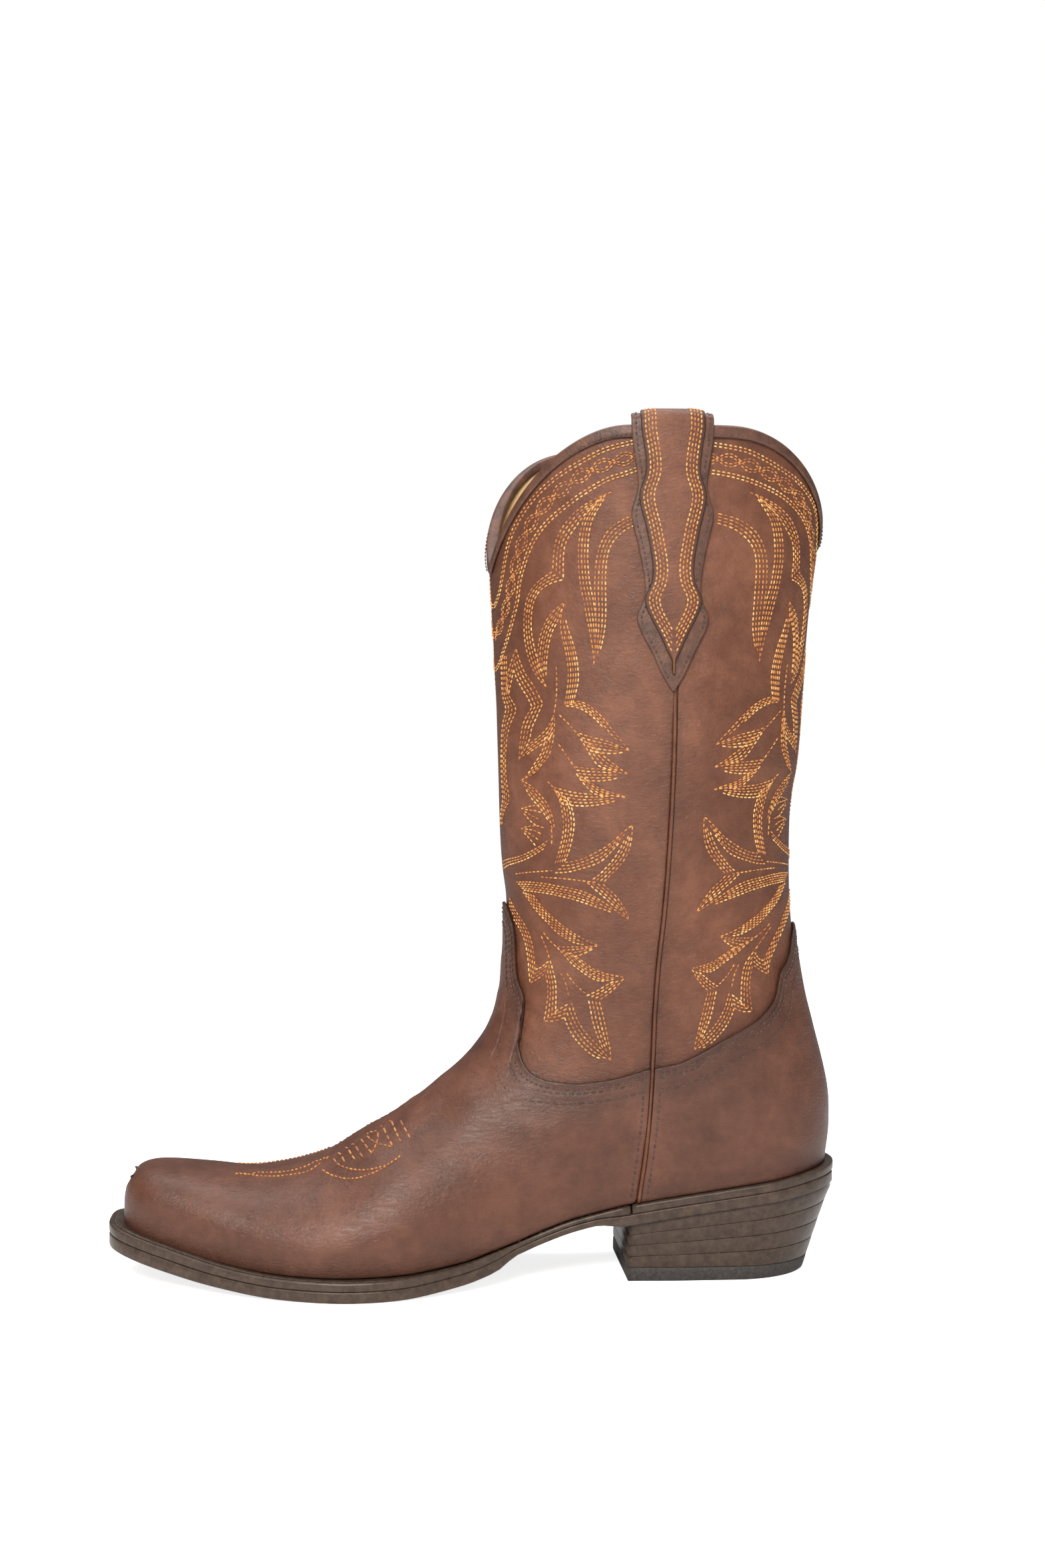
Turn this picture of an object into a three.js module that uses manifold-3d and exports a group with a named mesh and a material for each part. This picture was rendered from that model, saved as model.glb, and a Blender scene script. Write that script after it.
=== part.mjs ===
// A pull-on western boot for the left foot, as an assembly of its separate pieces.
// Millimetres, +Z up. X runs from the toe (-X) to the heel (+X), the outer side of the foot is -Y and the
// inner side +Y. The boot stands on Z = 0 on its heel cap and on the ball of its outsole.
import * as THREE from "three";
import Module from "manifold-3d";
import { mergeVertices } from "three/addons/utils/BufferGeometryUtils.js";

// ---- driving dimensions ------------------------------------------------------------------------------
const BOOT_LENGTH = 309; // toe tip of the outsole to the back of the rand
const RIM_HEIGHT = 352.5; // top line at the side seams
const FRONT_DIP = 300; // top line at the front centre
const BACK_DIP = 311; // top line at the back centre
const SHAFT_TOP_HALF_WIDTH = 50.5; // half width of the shaft at the top line
const FOREFOOT_SPREAD = 0; // added to the half width of the foot at the ball
const VAMP_LEATHER = 1.7; // upper leather over the foot and the counter
const SHAFT_LEATHER = 1.8; // upper leather of the shaft panels
const LINING_LEATHER = 1.0; // kid lining
const STIFFENER = 1.5; // toe box and counter stiffener
const FIT_GAP = 0.3; // clearance between touching pieces
const LAP_GAP = 1.3; // clearance between a cover and the shaft panel that it laps
const LINING_GAP = 2.6; // clearance between the shaft lining and the linings of the foot
const TOE_GAP = 0.7; // clearance each side of the toe box
const LAP = 11; // depth that the shaft panels run down under the vamp and the counter
const WELT_THICKNESS = 3.4; // welt round the forefoot
const OUTSOLE_THICKNESS = 4.6; // outsole at the ball and under the heel seat
const SOLE_GAP = 0.13 * OUTSOLE_THICKNESS; // clearance between the layers of the bottom
const WAIST_SHARE = 0.59; // thickness kept at the pared waist, of welt and outsole together
const INSOLE_THICKNESS = 2.8; // insole board
const SOCK_THICKNESS = 2.4; // padded sock under the heel of the foot
const CAP_THICKNESS = 6; // heel cap that meets the ground
const LIFT_COUNT = 4; // stacked leather lifts between the cap and the outsole
const HEEL_CAP_HALF_WIDTH = 29; // half width of the heel on the ground
const HEEL_UNDERCUT = 12; // how far the back of the heel leans in at the ground
const STRAP_LEATHER = 1.3; // each layer of the pull straps
const STRAP_HALF_WIDTH = 16.3; // widest half width of the pull strap backing
const STRAP_MARGIN = 3; // backing showing on each side of the strap
const STRAP_TIP = 246.7; // lowest point of the strap backing outside
const STRAP_RISE = 5; // fold of the strap above the top line
const FINGER_GAP = 11; // room behind the inner run of a pull strap
const BINDING_DEPTH = 6; // binding leg below the top line
const BINDING_LEATHER = 1.1; // binding leather
const PIPING_WIDTH = 1.3; // bead in the side seam
const PIPING_PROUD = 1.2; // bead standing out of the side seam
const SEAM_SPACE = 2.3; // space between the pieces that meet at the side seam
const PEG_WIDTH = 2.0; // wooden peg across its flats
const PEGS_PER_SIDE = 6;
const NAIL_DIAMETER = 2.8; // brass nails of the heel cap
const SHANK_WIDTH = 15; // steel shank

// ---- outlines in side view, X and Z of the finished leather ------------------------------------------
const NOMINAL_LENGTH = 309;
const NOMINAL_RIM = 352.5;
const SHAFT_START = 160; // above this height the shaft stretches with RIM_HEIGHT
const along = (x) => (x * BOOT_LENGTH) / NOMINAL_LENGTH;
const upward = (z) =>
  z <= SHAFT_START
    ? z
    : SHAFT_START + ((z - SHAFT_START) * (RIM_HEIGHT - SHAFT_START)) / (NOMINAL_RIM - SHAFT_START);
const sideView = (points) => points.map(([x, z, ...rest]) => [along(x), upward(z), ...rest]);
const planView = (points) => points.map(([x, y]) => [along(x), y]);

// front line from the toe over the instep and up the shaft, with the depth over which the section rounds off
const FRONT = spline(sideView([
  [-152, 48.4, 21], [-130, 47.6, 22], [-110, 46, 25], [-93, 44.6, 28], [-76, 46.6, 31], [-60, 51.6, 35],
  [-44.5, 61, 40], [-30, 69.3, 46], [-12.5, 83, 56], [1.5, 96, 62], [10.9, 112, 63], [14.6, 135, 61.5],
  [15, 158, 62.5], [13, 181, 66], [11.9, 215, 68.5], [10.8, 255, 70], [9.4, 290, 71.5], [6, 352.5, 74],
]), 16);
// back line from the heel seat up the shaft, with its rounding depth
const BACK = spline(sideView([
  [152, 30, 34], [152.4, 46, 35], [154.1, 60, 38], [153.8, 76, 42], [150.8, 90, 48], [146, 105, 55],
  [141.2, 122, 60], [137.9, 145, 61], [136.5, 168, 60], [136.6, 200, 58], [139.5, 220, 59.5],
  [142, 255, 61],
  [145.2, 290, 63.5], [149.4, 320, 67], [151.5, 352.5, 69],
]), 12);
// side seam, from the welt to the top line
const SEAM = spline(sideView([
  [67.2, 20], [68.4, 37], [70.6, 54], [72.2, 70.5], [73.4, 92.5], [74.1, 114], [75.4, 134],
  [78, 161], [80.2, 202],
  [81, 246], [80.5, 300], [80, 362],
]), 8);
// feather line: where the upper meets the welt
const FEATHER = spline(sideView([
  [-156, 25.4], [-150, 24], [-130, 18.5], [-109, 13], [-88, 9.6], [-67, 8.4], [-47, 8.3],
  [-26, 9.2], [-5, 12.2],
  [7, 15.6], [18, 19.2], [28, 23], [39.4, 27], [53, 30.4], [62.5, 32.5], [72, 34.1], [87, 36.4],
  [107, 39.3],
  [128, 42.4], [142, 44.6], [160, 46.6],
]), 8);
const TOE_WALL = along(-146.8); // front of the upper above the welt
const TOE_DEPTH = 23; // length over which the toe rounds into its front

// ---- outlines in plan: half widths along X ------------------------------------------------------------
const UPPER_OUTER = spline(planView([
  [-150, 18], [-140, 22], [-120, 29.5], [-95, 39], [-70, 47], [-50, 49.5], [-30, 48], [-10, 43], [10, 37.5],
  [30, 34], [60, 32.3], [90, 32.6], [120, 33], [160, 33],
]), 6);
const UPPER_INNER = spline(planView([
  [-150, 18], [-140, 22], [-120, 30], [-95, 39.5], [-70, 45], [-50, 44.5], [-30, 39.5],
  [-10, 33.5], [10, 29.5],
  [30, 28], [60, 29.5], [90, 31.5], [120, 32.5], [160, 33],
]), 6);
const SOLE_OUTER = spline(planView([
  [-154, 22.5], [-140, 27.5], [-120, 35.5], [-95, 45.5], [-70, 53], [-50, 56], [-30, 54],
  [-10, 47], [10, 39.5],
  [20, 36.8], [30, 35.3], [60, 34.2], [90, 34.6], [120, 35.2], [160, 35.2],
]), 6);
const SOLE_INNER = spline(planView([
  [-154, 22.5], [-140, 27.5], [-120, 36], [-95, 46], [-70, 51], [-50, 50.5], [-30, 45.2],
  [-10, 38], [10, 32.6],
  [20, 31], [30, 30.4], [60, 32], [90, 33.8], [120, 34.8], [160, 35],
]), 6);
const SHAFT_HALF_WIDTH = spline([
  [60, 36], [90, 37], [110, 37.6], [130, 38.6], [150, 40.2], [180, 43], [210, 45.2], [250, 47.2], [300, 49],
  [352.5, 50.5],
].map(([z, y]) => [upward(z), y + (SHAFT_TOP_HALF_WIDTH - 50.5) * smooth((z - 110) / 240)]), 6);

// lower edges of the shaft covers, as the angle round the shaft from the centre line and the height
const VAMP_COLLAR = [
  [0, 157], [7, 156], [12, 152.5], [17.5, 148], [20, 141.5], [22, 133], [25, 125.5], [31, 120], [33.7, 116],
  [35, 107], [38.7, 99], [45, 92.7], [52, 87.6], [59, 84.7], [69, 83.7], [78, 85.4], [86, 88.4], [90, 90.4],
];
const COUNTER_COLLAR = [
  [0, 147.5], [12, 144.5], [17, 142], [23, 136], [29, 131.5], [35, 128.5], [38, 123], [40.5, 118],
  [45, 114],
  [51.5, 109.6], [59, 105.8], [68, 101.3], [75, 96.7], [82.5, 92.3], [90, 90.4],
];
const FAN = [along(-70), 175]; // point ahead of the instep from which the vamp's grid lines fan out

const NAILS = [[74, -19], [74, 19], [104, 23], [104, -23], [131, 0]].map(([x, y]) => [along(x), y]);

// ---- finishes -----------------------------------------------------------------------------------------
const finish = (color, roughness, metalness = 0) =>
  new THREE.MeshStandardMaterial({ color, roughness, metalness });
const BROWN_LEATHER = finish(0x5a3320, 0.5);
const BROWN_SHAFT = finish(0x5f3622, 0.55);
const TAN_LINING = finish(0xb98a4e, 0.75);
const DARK_EDGE = finish(0x2e211b, 0.5);
const SOLE_LEATHER = finish(0x4a372b, 0.6);
const BOARD = finish(0xa37b50, 0.8);
const STIFF_FIBRE = finish(0x9a8468, 0.85);
const CORK = finish(0x8c6a47, 0.9);
const RUBBER = finish(0x262322, 0.75);
const WOOD = finish(0xc9a36b, 0.7);
const STEEL = finish(0x9a9ca0, 0.35, 1);
const BRASS = finish(0xb08d4a, 0.4, 1);

// ---- curves and the surface of the last ----------------------------------------------------------------
function smooth(t) {
  const c = Math.min(1, Math.max(0, t));
  return c * c * (3 - 2 * c);
}

// Catmull-Rom curve through points of any dimension, given as a fine polyline
function spline(points, steps) {
  const first = points[0].map((v, k) => 2 * v - points[1][k]);
  const last = points.at(-1).map((v, k) => 2 * v - points.at(-2)[k]);
  const p = [first, ...points, last];
  const out = [];
  for (let i = 1; i < p.length - 2; i++) {
    for (let s = 0; s < steps; s++) {
      const t = s / steps;
      out.push(p[i].map((b, k) => {
        const [a, c, d] = [p[i - 1][k], p[i + 1][k], p[i + 2][k]];
        const [bend, twist] = [2 * a - 5 * b + 4 * c - d, 3 * b - a - 3 * c + d];
        return 0.5 * (2 * b + (c - a) * t + bend * t * t + twist * t ** 3);
      }));
    }
  }
  out.push(points.at(-1));
  return out;
}

// value in column `give` where column `find` of the table reaches v
function lookUp(table, v, find = 0, give = 1) {
  const up = table.at(-1)[find] > table[0][find];
  let i = 0;
  while (i < table.length - 2 && (up ? table[i + 1][find] < v : table[i + 1][find] > v)) i++;
  const [a, b] = [table[i], table[i + 1]];
  const t = b[find] === a[find] ? 0 : (v - a[find]) / (b[find] - a[find]);
  return a[give] + (b[give] - a[give]) * Math.min(1, Math.max(0, t));
}

const lowestFront = FRONT.reduce((low, p, i) => (p[1] < FRONT[low][1] ? i : low), 0);
const FRONT_RISE = FRONT.slice(lowestFront);
const frontX = (z) => lookUp(FRONT_RISE, z, 1, 0);
const backX = (z) => lookUp(BACK, z, 1, 0);
const seamX = (z) => lookUp(SEAM, z, 1, 0);
const featherZ = (x) => lookUp(FEATHER, x);

// distance from a point to a side-view line, its rounding depth there, and which side the point lies on
function nearest(line, x, z) {
  let best = { distance: Infinity, depth: 1, side: 1 };
  for (let i = 0; i < line.length - 1; i++) {
    const [ax, az, ar] = line[i];
    const [bx, bz, br] = line[i + 1];
    const [ex, ez] = [bx - ax, bz - az];
    const t = Math.min(1, Math.max(0, ((x - ax) * ex + (z - az) * ez) / (ex * ex + ez * ez)));
    const [dx, dz] = [x - ax - ex * t, z - az - ez * t];
    const distance = Math.hypot(dx, dz);
    if (distance < best.distance) {
      best = { distance, depth: ar + (br - ar) * t, side: Math.sign(ex * dz - ez * dx) };
    }
  }
  return best;
}

// how full the section is at a point of the side view: 1 at the widest, 0 on the outline
function fullness(x, z) {
  const front = nearest(FRONT, x, z);
  const back = nearest(BACK, x, z);
  const depth = front.distance / front.depth;
  const fromFront = front.side > 0 ? -depth : Math.min(1, depth);
  const fromBack = back.side < 0 ? -back.distance / back.depth : Math.min(1, back.distance / back.depth);
  const fromToe = Math.min(1, (x - TOE_WALL) / TOE_DEPTH);
  const topPower = 2 + smooth((along(-60) - x) / 60);
  return 1 - (1 - fromFront) ** topPower - (1 - fromToe) ** 4 - (1 - fromBack) ** 2;
}

// half width of the finished boot at a point of the side view
function halfWidth(x, z, side) {
  const ball = FOREFOOT_SPREAD * Math.exp(-(((x - along(-55)) / 45) ** 2));
  const lean = 2.6 * Math.sin((Math.min(1, Math.max(0, (z - featherZ(x)) / 22)) * Math.PI) / 2);
  const foot = lookUp(side < 0 ? UPPER_OUTER : UPPER_INNER, x) + ball + lean;
  const climb = smooth((z - 48) / 80);
  const widest = foot * (1 - climb) + lookUp(SHAFT_HALF_WIDTH, z) * climb;
  const cornerPower = 2 + 0.9 * smooth((along(-95) - x) / 45);
  return widest * Math.max(0, fullness(x, z)) ** (1 / cornerPower);
}

const onBoot = (x, z, side) => [x, side * halfWidth(x, z, side), z];
const range = (count) => Array.from({ length: count + 1 }, (_, i) => i / count);
const around = (count) => range(count).map((t) => 2 * t - 1); // -1 outer seam, 0 centre line, +1 inner seam

// ---- grids of points on the upper ----------------------------------------------------------------------
const ROUND_STEPS = 20; // columns of every grid, from the outer seam round to the inner seam
// X on the shaft for an angle measured from the front or back centre line
function shaftX(angle, z, end) {
  const centre = end === "front" ? frontX(z) : backX(z);
  const seam = seamX(z) + (end === "front" ? -1 : 1) * (SEAM_SPACE / 2);
  return seam + (centre - seam) * Math.cos((angle * Math.PI) / 180);
}

const collarZ = (collar, angle) => lookUp(collar, angle);

// edge that is hidden under the vamp or the counter: a softened copy of the collar, LAP lower
function lapZ(collar, angle) {
  const soft = [-9, -4.5, 0, 4.5, 9].map((d) => collarZ(collar, Math.min(90, Math.abs(angle + d))));
  const low = Math.min(...soft);
  return low - LAP + 0.25 * (collarZ(collar, angle) - low);
}

function topLineZ(angle, end) {
  const dip = end === "front" ? FRONT_DIP : BACK_DIP;
  return dip + (RIM_HEIGHT - dip) * Math.sin((Math.min(90, 1.25 * angle) * Math.PI) / 180) ** 1.3;
}

// rows climb from `low` to `high`, closer together round the ankle; columns go round from the outer seam
// to the inner seam
function shaftGrid(end, low, high, rows) {
  return range(rows).map((step) => around(ROUND_STEPS).map((turn) => {
    const angle = 90 * Math.abs(turn);
    const z = low(angle) + (high(angle) - low(angle)) * step ** 1.55;
    return onBoot(shaftX(angle, z, end), z, Math.sign(turn) || 1);
  }));
}

// rows of the counter climb from the feather line to the hidden edge of the shaft, then on to the collar
const COUNTER_HIDDEN_ROWS = 5;
const COUNTER_ROWS = COUNTER_HIDDEN_ROWS + 3;
function counterGrid() {
  return range(COUNTER_ROWS).map((_, i) => around(ROUND_STEPS).map((turn) => {
    const angle = 90 * Math.abs(turn);
    const hidden = lapZ(COUNTER_COLLAR, angle) - LINING_GAP;
    let x = shaftX(angle, 60, "back");
    let z = 60;
    for (let k = 0; k < 8; k++) {
      const base = featherZ(x) + SOLE_GAP;
      const beyond = (i - COUNTER_HIDDEN_ROWS) / (COUNTER_ROWS - COUNTER_HIDDEN_ROWS);
      const below = base + ((hidden - base) * i) / COUNTER_HIDDEN_ROWS;
      z = beyond > 0 ? hidden + (collarZ(COUNTER_COLLAR, angle) - hidden) * beyond : below;
      x = shaftX(angle, z, "back");
    }
    return onBoot(x, z, Math.sign(turn) || 1);
  }));
}

const polar = ([x, z]) => [Math.atan2(z - FAN[1], x - FAN[0]), Math.hypot(x - FAN[0], z - FAN[1])];

// outline of the vamp below and behind: the feather line, then up the side seam
const VAMP_FOOT = [
  ...FEATHER.map(([x, z]) => [x, z + SOLE_GAP]).filter(([x, z]) => x < seamX(z) - SEAM_SPACE / 2 - 0.5),
  ...SEAM.filter(([x, z]) => z > featherZ(x) + SOLE_GAP + 0.2).map(([x, z]) => [x - SEAM_SPACE / 2, z]),
];
const seamFoot = VAMP_FOOT.findIndex(([, z], i) => VAMP_FOOT[i + 1][0] - VAMP_FOOT[i][0] < 0.5 && z > 30);
const VAMP_FOOT_POLAR = VAMP_FOOT.map(polar);

// centre line of the vamp seen from the fan point, with the rounded top of the toe
const VAMP_RIDGE_POLAR = range(240).map((t) => {
  const angle = -2.1 + 2.1 * t;
  let [near, far] = [20, lookUp(VAMP_FOOT_POLAR, angle) - 3];
  for (let k = 0; k < 40; k++) {
    const middle = (near + far) / 2;
    if (fullness(FAN[0] + middle * Math.cos(angle), FAN[1] + middle * Math.sin(angle)) > 0) far = middle;
    else near = middle;
  }
  return [angle, far];
});

function vampPoint(angle, girth) {
  const foot = lookUp(VAMP_FOOT_POLAR, angle);
  const ridge = lookUp(VAMP_RIDGE_POLAR, angle);
  const reach = foot - (foot - ridge) * Math.cos((girth * Math.PI) / 2);
  return [FAN[0] + reach * Math.cos(angle), FAN[1] + reach * Math.sin(angle)];
}

// angle of the fan at the toe wall for each girth
function toeAngle(girth) {
  let [low, high] = [-2.09, -1.8];
  for (let k = 0; k < 40; k++) {
    const middle = (low + high) / 2;
    const [x, z] = vampPoint(middle, girth);
    if (x > TOE_WALL && fullness(x, z) > 0) high = middle;
    else low = middle;
  }
  return high;
}

// edge `heightAt` of the vamp as [girth, fan angle, length along the edge], from the centre line to the seam
function vampEnd(heightAt) {
  let length = 0;
  let before = null;
  const path = range(180).map((t) => {
    const z = heightAt(90 * t);
    const x = shaftX(90 * t, z, "front");
    const [angle, reach] = polar([x, z]);
    const foot = lookUp(VAMP_FOOT_POLAR, angle);
    const ridge = lookUp(VAMP_RIDGE_POLAR, angle);
    const cosine = Math.min(1, Math.max(0, (foot - reach) / (foot - ridge)));
    const here = onBoot(x, z, -1);
    length += before ? Math.hypot(...minus(here, before)) : 0;
    before = here;
    return [(Math.acos(cosine) * 2) / Math.PI, angle, length];
  });
  path[0][0] = 0;
  path.at(-1)[0] = 1;
  return path.filter(([g], i) => i === 0 || g > Math.max(...path.slice(0, i).map((q) => q[0])));
}

// columns of the vamp stand at even steps along its collar, eased towards even steps of girth
const VAMP_STEPS = 14;
function vampColumns(collar) {
  const whole = collar.at(-1)[2];
  const half = range(VAMP_STEPS).map((t) => 0.8 * lookUp(collar, t * whole, 2, 0) + 0.2 * t);
  return [...half.slice(1).reverse().map((g) => -g), ...half];
}

// rows of the vamp run from the toe wall to the hidden edge of the shaft, then on to the collar
const VAMP_HIDDEN_ROWS = 15;
const VAMP_ROWS = VAMP_HIDDEN_ROWS + 3;
function vampGrid() {
  const hidden = vampEnd((angle) => lapZ(VAMP_COLLAR, angle) - LINING_GAP);
  const collar = vampEnd((angle) => collarZ(VAMP_COLLAR, angle));
  const corner = VAMP_FOOT_POLAR[seamFoot][0];
  const columns = vampColumns(collar);
  const angles = range(VAMP_ROWS).map((_, i) => columns.map((turn) => {
    const girth = Math.abs(turn);
    const [start, lap, end] = [toeAngle(girth), lookUp(hidden, girth), lookUp(collar, girth)];
    const t = i / VAMP_HIDDEN_ROWS;
    const beyond = (i - VAMP_HIDDEN_ROWS) / (VAMP_ROWS - VAMP_HIDDEN_ROWS);
    const climb = 0.5 * t ** 2.3 + 0.5 * t ** 1.2;
    return beyond > 0 ? lap + (end - lap) * beyond : start + (lap - start) * climb;
  }));
  // one row passes through the corner where the feather line meets the side seam
  const rowAtCorner = angles.findIndex((row) => row[0] > corner);
  return angles.map((row, i) => row.map((angle, j) => {
    const turn = columns[j];
    const girth = Math.abs(turn);
    const [x, z] = vampPoint(girth === 1 && i === rowAtCorner ? corner : angle, girth);
    const [, y] = onBoot(x, z, Math.sign(turn) || 1);
    return [x, i === 0 ? 0 : y, z];
  }));
}

// ---- solids ------------------------------------------------------------------------------------------
const minus = (a, b) => [a[0] - b[0], a[1] - b[1], a[2] - b[2]];
const cross = (a, b) => [a[1] * b[2] - a[2] * b[1], a[2] * b[0] - a[0] * b[2], a[0] * b[1] - a[1] * b[0]];
const unit = (a) => a.map((v) => v / (Math.hypot(...a) || 1));

// outward normal of the boot at a point of its surface, from the slope of the half width
function outward([x, y, z]) {
  const step = 0.05;
  const slope = (of) => [of(x + step, z) - of(x - step, z), of(x, z + step) - of(x, z - step)];
  const side = y < 0 ? -1 : 1;
  if (Math.abs(y) < 0.5) {
    const [dx, dz] = slope(fullness);
    return unit([-dx, 0, -dz]);
  }
  const [dx, dz] = slope((u, v) => halfWidth(u, v, side));
  return unit([-dx, side * 2 * step, -dz]);
}

const offset = (grid, normal, distance) =>
  grid.map((row, i) => row.map((p, j) => p.map((v, k) => v + normal[i][j][k] * distance(i, j))));

// drops flat triangles, merges points and turns the faces outwards
function closed(triangles) {
  const solid = triangles.filter(([a, b, c]) => Math.hypot(...cross(minus(b, a), minus(c, a))) > 1e-7);
  const volume = solid.reduce((sum, [a, b, c]) => sum + a.reduce((s, v, k) => s + v * cross(b, c)[k], 0), 0);
  const turned = volume < 0 ? solid.map(([a, b, c]) => [a, c, b]) : solid;
  const geometry = new THREE.BufferGeometry();
  geometry.setAttribute("position", new THREE.Float32BufferAttribute(turned.flat(2), 3));
  return mergeVertices(geometry, 1e-4);
}

const quad = (a, b, c, d) => [[a, b, c], [a, c, d]];

// skin between two grids of the same size, with its edges closed
function shell(outer, inner, zipped = false) {
  const [rows, columns] = [outer.length, outer[0].length];
  const triangles = [];
  for (let i = 0; i < rows - 1; i++) {
    for (let j = 0; j < columns - 1; j++) {
      triangles.push(...quad(outer[i][j], outer[i][j + 1], outer[i + 1][j + 1], outer[i + 1][j]));
      triangles.push(...quad(inner[i][j], inner[i + 1][j], inner[i + 1][j + 1], inner[i][j + 1]));
    }
    triangles.push(...quad(outer[i][0], outer[i + 1][0], inner[i + 1][0], inner[i][0]));
    const e = columns - 1;
    triangles.push(...quad(outer[i][e], inner[i][e], inner[i + 1][e], outer[i + 1][e]));
  }
  for (let j = 0; j < columns - 1; j++) {
    const e = rows - 1;
    if (!zipped) triangles.push(...quad(outer[0][j], inner[0][j], inner[0][j + 1], outer[0][j + 1]));
    triangles.push(...quad(outer[e][j], outer[e][j + 1], inner[e][j + 1], inner[e][j]));
  }
  return closed(triangles);
}

// solid through closed sections that all have the same number of points; `profile` gives a hollow
// section flat
function loft(sections, profile) {
  const triangles = [];
  const count = sections[0].length;
  for (let i = 0; i < sections.length - 1; i++) {
    for (let j = 0; j < count; j++) {
      const k = (j + 1) % count;
      triangles.push(...quad(sections[i][j], sections[i][k], sections[i + 1][k], sections[i + 1][j]));
    }
  }
  const fan = range(count - 3).map((_, j) => [0, j + 1, j + 2]);
  const outline = profile?.map(([u, v]) => new THREE.Vector2(u, v));
  const flat = outline && THREE.ShapeUtils.triangulateShape(outline, []);
  const lid = (section, turn) => {
    for (const [a, b, c] of flat || fan) {
      triangles.push(turn ? [section[a], section[c], section[b]] : [section[a], section[b], section[c]]);
    }
  };
  lid(sections[0], true);
  lid(sections.at(-1), false);
  return closed(triangles);
}

const wasm = await Module();
wasm.setup();

function toManifold(geometry) {
  const bare = new THREE.BufferGeometry();
  bare.setAttribute("position", geometry.getAttribute("position"));
  if (geometry.index) bare.setIndex(geometry.index);
  const merged = mergeVertices(bare, 1e-4);
  return new wasm.Manifold(new wasm.Mesh({
    numProp: 3,
    vertProperties: new Float32Array(merged.getAttribute("position").array),
    triVerts: new Uint32Array(merged.index.array),
  }));
}

function cut(geometry, cutters) {
  const solid = cutters.reduce((rest, cutter) => rest.subtract(toManifold(cutter)), toManifold(geometry));
  const mesh = solid.getMesh();
  const result = new THREE.BufferGeometry();
  result.setAttribute("position", new THREE.BufferAttribute(mesh.vertProperties, 3));
  result.setIndex(new THREE.BufferAttribute(mesh.triVerts, 1));
  return result;
}

function pin(x, y, low, high, radius, sides) {
  const geometry = new THREE.CylinderGeometry(radius, radius, high - low, sides);
  geometry.rotateX(Math.PI / 2);
  geometry.translate(x, y, (low + high) / 2);
  geometry.deleteAttribute("normal");
  geometry.deleteAttribute("uv");
  return mergeVertices(geometry, 1e-4);
}

// ---- the upper -----------------------------------------------------------------------------------------
const boot = new THREE.Group();
boot.name = "cowboy_boot";

function add(name, geometry, material) {
  const mesh = new THREE.Mesh(geometry, material);
  mesh.name = name;
  boot.add(mesh);
}

// skin between two offsets of one grid
function skin(name, grid, outerAt, innerAt, material, zipped = false) {
  const normal = grid.map((row) => row.map(outward));
  add(name, shell(offset(grid, normal, outerAt), offset(grid, normal, innerAt), zipped), material);
}

const shaftInside = -SHAFT_LEATHER - FIT_GAP;
const coverInside = -VAMP_LEATHER - FIT_GAP;
const firstRows = (grid, count) => grid.slice(0, count + 1);
const everyOther = (grid) => grid.map((row) => row.filter((_, j) => j % 2 === 0));

// the vamp and the counter rise over the shaft panels near their collars
const riseOverLap = (row, start, end) => (LAP_GAP + VAMP_LEATHER) * smooth((row - start) / (end - start));

function buildVamp() {
  const grid = vampGrid();
  const surface = (row) => riseOverLap(row, VAMP_HIDDEN_ROWS - 5, VAMP_HIDDEN_ROWS - 0.5);
  skin("vamp", grid, surface, (row) => surface(row) - VAMP_LEATHER, BROWN_LEATHER, true);

  const toeBoxRows = 8;
  const outside = coverInside - TOE_GAP;
  skin("toe_box", firstRows(grid, toeBoxRows), () => outside, () => outside - STIFFENER, STIFF_FIBRE, true);

  const lining = (row) => {
    const room = (TOE_GAP + STIFFENER) * (1 - smooth((row - toeBoxRows - 0.5) / 2));
    return coverInside - TOE_GAP - room;
  };
  const rows = everyOther(firstRows(grid, VAMP_HIDDEN_ROWS));
  skin("vamp_lining", rows, lining, (row) => lining(row) - LINING_LEATHER, TAN_LINING, true);
}

function buildCounter() {
  const grid = counterGrid();
  const surface = (row) => riseOverLap(row, 1, COUNTER_HIDDEN_ROWS - 0.5);
  skin("heel_counter_cover", grid, surface, (row) => surface(row) - VAMP_LEATHER, BROWN_LEATHER);

  const stiffener = firstRows(grid, COUNTER_HIDDEN_ROWS - 1).map((row) => row.slice(2, -2));
  const outside = (row) => Math.min(surface(row) + coverInside, -FIT_GAP);
  skin("counter_stiffener", stiffener, outside, (row) => outside(row) - STIFFENER, STIFF_FIBRE);

  const lining = (row) => Math.min(outside(row) - STIFFENER - FIT_GAP, shaftInside);
  const rows = firstRows(grid, COUNTER_HIDDEN_ROWS);
  skin("heel_lining", rows, lining, (row) => lining(row) - LINING_LEATHER, TAN_LINING);
}

const SHAFT_ROWS = 10;
function buildShaft() {
  for (const [end, collar] of [["front", VAMP_COLLAR], ["back", COUNTER_COLLAR]]) {
    const grid = shaftGrid(end, (angle) => lapZ(collar, angle), (angle) => topLineZ(angle, end), SHAFT_ROWS);
    skin(`shaft_${end}_panel`, grid, () => 0, () => -SHAFT_LEATHER, BROWN_SHAFT);
    const inside = () => shaftInside - LINING_LEATHER;
    skin(`shaft_lining_${end}`, grid, () => shaftInside, inside, TAN_LINING);
    buildBinding(end);
  }
}

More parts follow.
